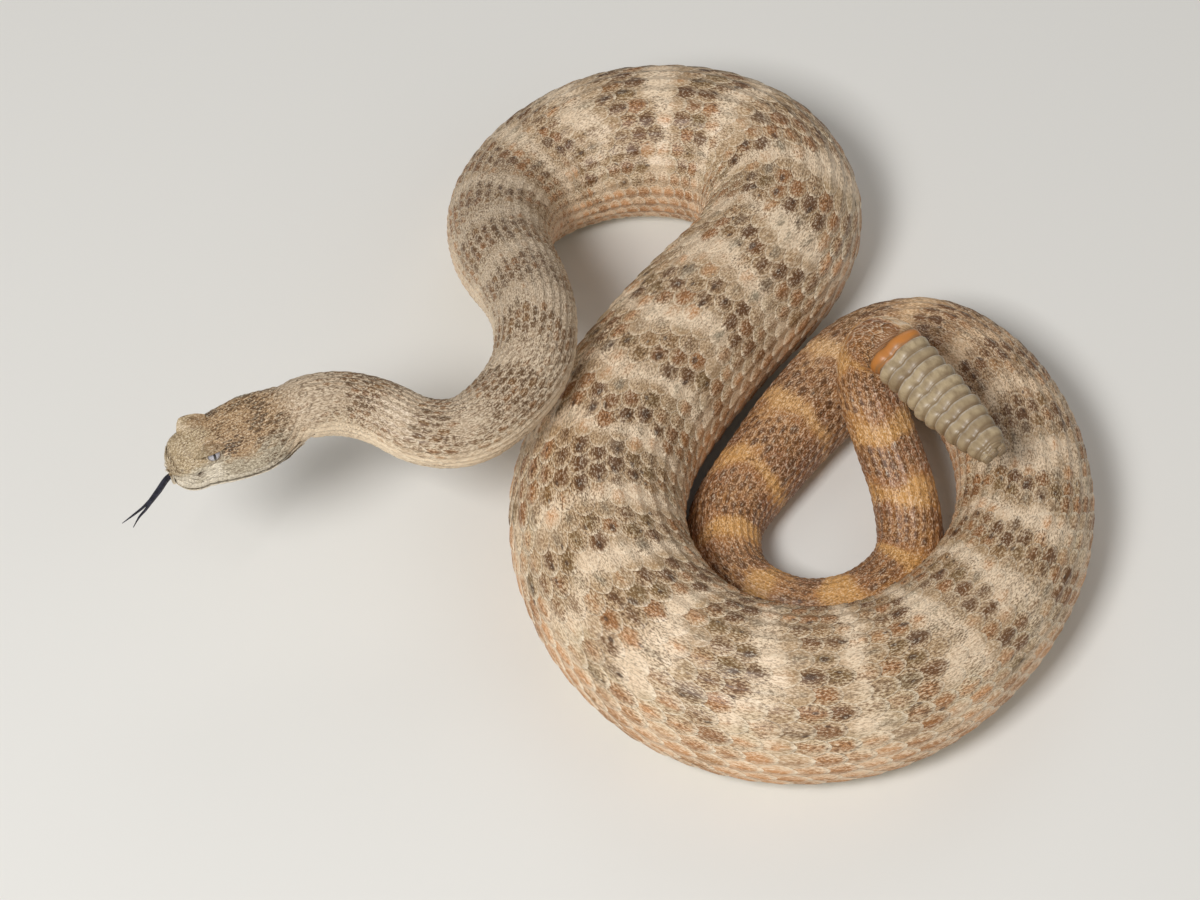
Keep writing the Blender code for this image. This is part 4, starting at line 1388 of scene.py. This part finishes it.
def build_tongue(settings):
    """Forked tongue, out of the notch in the lips."""
    head = Head(Spine())
    fork, behind = np.array(TONGUE_STEM[-1]), np.array(TONGUE_STEM[-2])
    stem = (TONGUE_ROOT, *TONGUE_STEM[:-1])
    rows = [(place, TONGUE_HALF_WIDTH, TONGUE_HALF_THICKNESS) for place in stem]
    points, faces = strand(head, rows + [(fork, 0.62, 0.36)])
    for spread, (bend, end) in zip((-0.3, 0.3), TONGUE_TIPS):
        aside = np.array((0, spread, 0))
        more, more_faces = strand(head, [
            (fork + (behind - fork) * 0.35 + aside, 0.38, 0.34),
            (fork + (np.array(bend) - fork) * 0.25 + aside, 0.34, 0.32),
            (bend, 0.27, 0.25),
            (end, 0.08, 0.08),
        ])
        faces = faces + [tuple(i + len(points) for i in face) for face in more_faces]
        points = np.vstack([points, more])
    mesh = solid("tongue_shown", points, faces)
    bake_map(mesh, *(0.5 + (points[:, :2] - points[:, :2].mean(0)) / 40.0).T)
    mesh.materials.append(tongue_finish(settings))
    attach(new_object("tongue_shown", mesh), "tongue", "tongue")


def rattle_ring():
    """One horny ring: a full lobe with a crisp edge, and a lower lobe that the next one covers."""
    sides = 44
    points = []
    for x, size in RING_PROFILE:
        for k in range(sides):
            angle = 2 * math.pi * k / sides
            across, up = math.cos(angle), math.sin(angle)
            groove = 1 - 0.2 * math.exp(-((across + 0.22) / 0.17) ** 2)
            square = math.copysign(abs(up) ** 0.85, up)
            points.append((x, size * across, size * square * groove))
    faces = closed_loft(len(points), sides)
    mesh = solid("rattle ring", points, faces, math.radians(60), 1.0)
    write(mesh, "leaf", points)
    return new_object("rattle ring", mesh)


def build_rattle(settings):
    """Loose chain of horny rings, narrowing to the tip's small lobes."""
    spine, _, markings, draw = shapes(settings, 4)
    along, broad, wide = rattle_axes()
    base = spine.end() + along * RATTLE_GAP
    count = len(RATTLE_HALF_WIDTHS)
    pitch = RATTLE_LENGTH / (count + 0.6)
    width = np.array(RATTLE_HALF_WIDTHS) * draw.uniform(0.96, 1.0, count)
    thick = np.array(RATTLE_HALF_THICKNESSES) * draw.uniform(0.95, 1.0, count)
    # The rings in a row, and then the stump and small uneven lobes that the tip is worn down to.
    stump = np.array(RATTLE_STUMP)
    chain = np.concatenate([np.arange(count) + 0.5, count + stump[:, 0]])
    sizes = np.column_stack([np.full(count, pitch), width, thick])
    sizes = np.vstack([sizes, stump[:, 3:] * (pitch, width[-1], thick[-1])])
    aside = draw.uniform(-0.25, 0.25, (len(chain), 1)) * wide
    aside[count:] = wide * stump[:, 1:2] * width[-1] + broad * stump[:, 2:3] * thick[-1]
    centres = base + along * (chain * pitch)[:, None] + aside
    tilt = draw.normal(0.0, 0.05, (len(chain), 2))
    facing = quaternions(along + wide * tilt[:, :1] + broad * tilt[:, 1:], [broad] * len(chain))
    values = dict(chain=chain, seed=draw.random(len(chain)))
    finish = horn_finish()
    mesh = repeat("rattle_shown", rattle_ring(), finish, centres, sizes, facing, **values)
    x, across, _ = take(mesh, "leaf", 3).T
    seed = take(mesh, "seed", 1)
    reach = take(mesh, "chain", 1) + x
    shade = markings.tint("horn_shade")
    # The live base runs into the dead rings in a wavy line with a dark stripe.
    wavy = reach + 0.1 * np.cos(across * 7.0)
    live = 1 - smooth(0.96, 1.08, wavy)
    stripe = np.exp(-((wavy - 0.84) / 0.1) ** 2) + smooth(0.35, 0.0, reach)
    # Painted highlight: a thin whitened line near the front edge of each ring.
    edge = np.exp(-((x + 0.4) / 0.09) ** 2)
    # Darker horn at random, and painted shade on each ring's narrowing waist before the next ring.
    share = np.clip(0.5 * seed + 0.7 * smooth(0.15, 0.38, x), 0, 1)
    ground = between(markings.tint("horn"), shade, share)
    ground = between(ground, np.ones(3), 0.3 * edge)
    ground = between(ground, markings.tint("horn_base"), live)
    ground = between(ground, shade, 0.6 * np.clip(stripe, 0, 1))
    write(mesh, "ground", ground)
    write(mesh, "mark", between(ground, shade, 0.6 * (1 - live) + 0.15))
    local = places(mesh) - base
    write(mesh, "lay", local @ np.stack([along * 0.6, broad, wide], 1))
    bake_map(mesh, 0.1 + (local @ along) / 60.0, 0.5 + (local @ wide) / 40.0)
    attach(new_object("rattle_shown", mesh), "horn", "rattle")


# The stage


def build_stage(settings):
    """Pale floor, soft lights and the camera."""
    scene = bpy.context.scene
    bpy.ops.mesh.primitive_plane_add(size=18 * SPAN)
    floor = bpy.context.object
    floor.name = "floor"
    # Matt paper sweep: one even pale tone, so that the eye rests on the animal and its soft shadow.
    tone = opaque(linear("e3e1dc"))
    floor.data.materials.append(new_finish("matt paper sweep", Base_Color=tone, Roughness=0.9)[0])
    for name, place, energy, size in (
        ("key_light", (-0.4, -0.7, 1.0), 12.2, 0.36),
        ("fill_light", (0.8, -0.5, 0.7), 1.2, 0.9),
        ("back_light", (0.1, 0.9, 0.8), 1.4, 0.7),
    ):
        light = bpy.data.lights.new(name, "AREA")
        light.energy = energy
        light.size = size
        lamp = bpy.data.objects.new(name, light)
        lamp.location = place
        lamp.rotation_euler = Vector(place).to_track_quat("Z", "Y").to_euler()
        scene.collection.objects.link(lamp)
    world = bpy.data.worlds.new("studio")
    world.use_nodes = True
    background = world.node_tree.nodes["Background"].inputs
    background["Color"].default_value = opaque(linear("efeeec"))
    background["Strength"].default_value = 0.3
    scene.world = world
    scene.view_settings.view_transform = "Standard"
    camera = bpy.data.objects.new("camera", bpy.data.cameras.new("camera"))
    camera.data.lens = settings.lens
    camera.data.sensor_width = 36.0
    tilt, reach = settings.camera_elevation, settings.camera_distance
    camera.location = (CAMERA_ASIDE, -reach * math.cos(tilt), reach * math.sin(tilt))
    camera.rotation_euler = (math.pi / 2 - tilt, 0.0, 0.0)
    scene.collection.objects.link(camera)
    scene.camera = camera


# Settings, steps and panel


def colour(label, text, code):
    """A colour setting, with its default in sRGB hex."""
    return bpy.props.FloatVectorProperty(
        name=label, description=text, default=linear(code), size=3, subtype="COLOR",
        min=0.0, max=1.0,
    )


class RattlesnakeSettings(bpy.types.PropertyGroup):
    """Sizes and colours of the model and its stage."""

    scale_rows: bpy.props.IntProperty(
        name="Scale Rows", description="Rows of scales round the back and flanks",
        default=23, min=15, max=31,
    )
    tail_rows: bpy.props.IntProperty(
        name="Tail Rows", description="Rows of scales round the tail",
        default=17, min=11, max=23,
    )
    band_spacing: bpy.props.FloatProperty(
        name="Band Spacing",
        description="Distance from one dark band to the next where the body is thick",
        unit="LENGTH", subtype="DISTANCE", default=0.0195, min=0.008, max=0.05,
    )
    seed: bpy.props.IntProperty(
        name="Seed", description="Seed of the small variations from scale to scale",
        default=7, min=0,
    )
    pale_band: colour("Pale Bands", "Cream of the pale bands across the back", "e8ceae")
    between_marks: colour("Dark Bands", "Tan between the marks of the dark bands", "b3926a")
    dark_mark: colour("Dark Marks", "Brown marks of the dark bands", "6a4420")
    rust_mark: colour("Rust Marks", "Warmer brown of some marks of the dark bands", "a46e3c")
    olive_mark: colour("Olive Marks", "Olive brown of some marks of the dark bands", "806a42")
    grey_mark: colour("Grey Marks", "Grey spots on the scales of the pale bands", "9d9078")
    flank: colour("Flanks", "Sand ground of the flanks", "cdb794")
    flank_spot: colour("Flank Spots", "Peach spots on the scales of the flanks", "d89f6c")
    low_flank: colour("Low Flanks", "Peach cream ground above the belly", "f0cda8")
    belly: colour("Belly", "Cream of the belly plates", "eadcc2")
    neck: colour("Neck", "Pale tan ground of the neck", "c0aa8f")
    neck_mark: colour("Neck Marks", "Dark olive brown marks of the neck", "655339")
    tail: colour("Tail", "Ochre of the tail's pale bands", "d39c56")
    tail_shade: colour("Tail Shade", "Brown ground of the tail's dark bands", "a66d3a")
    tail_mark: colour("Tail Marks", "Dark brown marks of the tail", "6b421f")
    crown: colour("Crown", "Tan of the top of the head", "ad8b63")
    snout: colour("Snout", "Pale tan of the top of the snout", "b59f7c")
    cheek: colour("Cheeks", "Warm grey of the sides of the head", "b5a890")
    head_mark: colour("Head Marks", "Brown clouding over the top of the head", "584022")
    lips: colour("Lips", "Cream of the lips and chin", "efe4d0")
    dot: colour("Dots", "Near-black dots on some scales of the back", "382012")
    # Darkened, this colour is also the painted shade on the skin.
    pepper: colour("Pepper", "Fine dark specks over all scales", "583c22")
    # Also the colour of the scales' pale rims, which are partly painted highlight.
    fleck_and_edge_highlight: colour("Flecks", "Fine pale specks and scale edges", "f2e4cb")
    horn: colour("Horn", "Pale horn of the rattle's rings", "b7a381")
    # Also the colour of the painted shade on the rattle's waists.
    horn_shade: colour("Horn Shade", "Darker horn of the rattle's narrow waists", "7f694d")
    horn_base: colour("Rattle Base", "Orange of the rattle's first ring", "bd7834")
    iris: colour("Iris", "Pale grey of the eyes", "c4c1c8")
    tongue: colour("Tongue", "Blue-black of the tongue", "2b2b38")
    camera_elevation: bpy.props.FloatProperty(
        name="Camera Elevation", description="Angle of the camera above the floor",
        unit="ROTATION", subtype="ANGLE", default=math.radians(52),
    )
    camera_distance: bpy.props.FloatProperty(
        name="Camera Distance", description="Distance from the camera to the middle of the model",
        unit="LENGTH", subtype="DISTANCE", default=5.2 * SPAN,
    )
    lens: bpy.props.FloatProperty(
        name="Lens", description="Focal length of the camera in millimetres",
        unit="CAMERA", default=144.9,
    )


class RATTLESNAKE_OT_skin(bpy.types.Operator):
    """Add the closed skin from the snout to the tail"""

    bl_idname = "rattlesnake.skin"
    bl_label = "Add Skin"

    def execute(self, context):
        build_skin(context.scene.rattlesnake)
        return {"FINISHED"}


class RATTLESNAKE_OT_coat(bpy.types.Operator):
    """Add the rows of keeled scales and the belly plates"""

    bl_idname = "rattlesnake.coat"
    bl_label = "Add Body Scales"

    def execute(self, context):
        build_coat(context.scene.rattlesnake)
        build_belly(context.scene.rattlesnake)
        return {"FINISHED"}


class RATTLESNAKE_OT_head_scales(bpy.types.Operator):
    """Add the small scales of the head, the plates of the face and the shields over the eyes"""

    bl_idname = "rattlesnake.head_scales"
    bl_label = "Add Head Scales"

    def execute(self, context):
        build_head_scales(context.scene.rattlesnake)
        build_face_plates(context.scene.rattlesnake)
        build_brow_shields(context.scene.rattlesnake)
        return {"FINISHED"}


class RATTLESNAKE_OT_eyes(bpy.types.Operator):
    """Add the two eyes"""

    bl_idname = "rattlesnake.eyes"
    bl_label = "Add Eyes"

    def execute(self, context):
        build_eyes(context.scene.rattlesnake)
        return {"FINISHED"}


class RATTLESNAKE_OT_tongue(bpy.types.Operator):
    """Add the forked tongue"""

    bl_idname = "rattlesnake.tongue"
    bl_label = "Add Tongue"

    def execute(self, context):
        build_tongue(context.scene.rattlesnake)
        return {"FINISHED"}


class RATTLESNAKE_OT_rattle(bpy.types.Operator):
    """Add the rattle's chain of horn rings"""

    bl_idname = "rattlesnake.rattle"
    bl_label = "Add Rattle"

    def execute(self, context):
        build_rattle(context.scene.rattlesnake)
        return {"FINISHED"}


class RATTLESNAKE_OT_stage(bpy.types.Operator):
    """Add the floor, the lights and the camera"""

    bl_idname = "rattlesnake.stage"
    bl_label = "Add Stage"

    def execute(self, context):
        build_stage(context.scene.rattlesnake)
        return {"FINISHED"}


STEPS = (
    RATTLESNAKE_OT_skin, RATTLESNAKE_OT_coat, RATTLESNAKE_OT_head_scales, RATTLESNAKE_OT_eyes,
    RATTLESNAKE_OT_tongue, RATTLESNAKE_OT_rattle, RATTLESNAKE_OT_stage,
)


class RATTLESNAKE_PT_panel(bpy.types.Panel):
    """Settings and steps of the rattlesnake model"""

    bl_idname = "RATTLESNAKE_PT_panel"
    bl_label = "Rattlesnake"
    bl_space_type = "VIEW_3D"
    bl_region_type = "UI"
    bl_category = "Rattlesnake"

    def draw(self, context):
        for name in RattlesnakeSettings.__annotations__:
            self.layout.prop(context.scene.rattlesnake, name)
        for step in STEPS:
            self.layout.operator(step.bl_idname)


CLASSES = (RattlesnakeSettings, *STEPS, RATTLESNAKE_PT_panel)


def register():
    for item in CLASSES:
        bpy.utils.register_class(item)
    bpy.types.Scene.rattlesnake = bpy.props.PointerProperty(type=RattlesnakeSettings)


def unregister():
    del bpy.types.Scene.rattlesnake
    for item in reversed(CLASSES):
        bpy.utils.unregister_class(item)


def main():
    register()
    bpy.ops.rattlesnake.skin()
    bpy.ops.rattlesnake.coat()
    bpy.ops.rattlesnake.head_scales()
    bpy.ops.rattlesnake.eyes()
    bpy.ops.rattlesnake.tongue()
    bpy.ops.rattlesnake.rattle()
    bpy.ops.rattlesnake.stage()


if __name__ == "__main__":
    main()
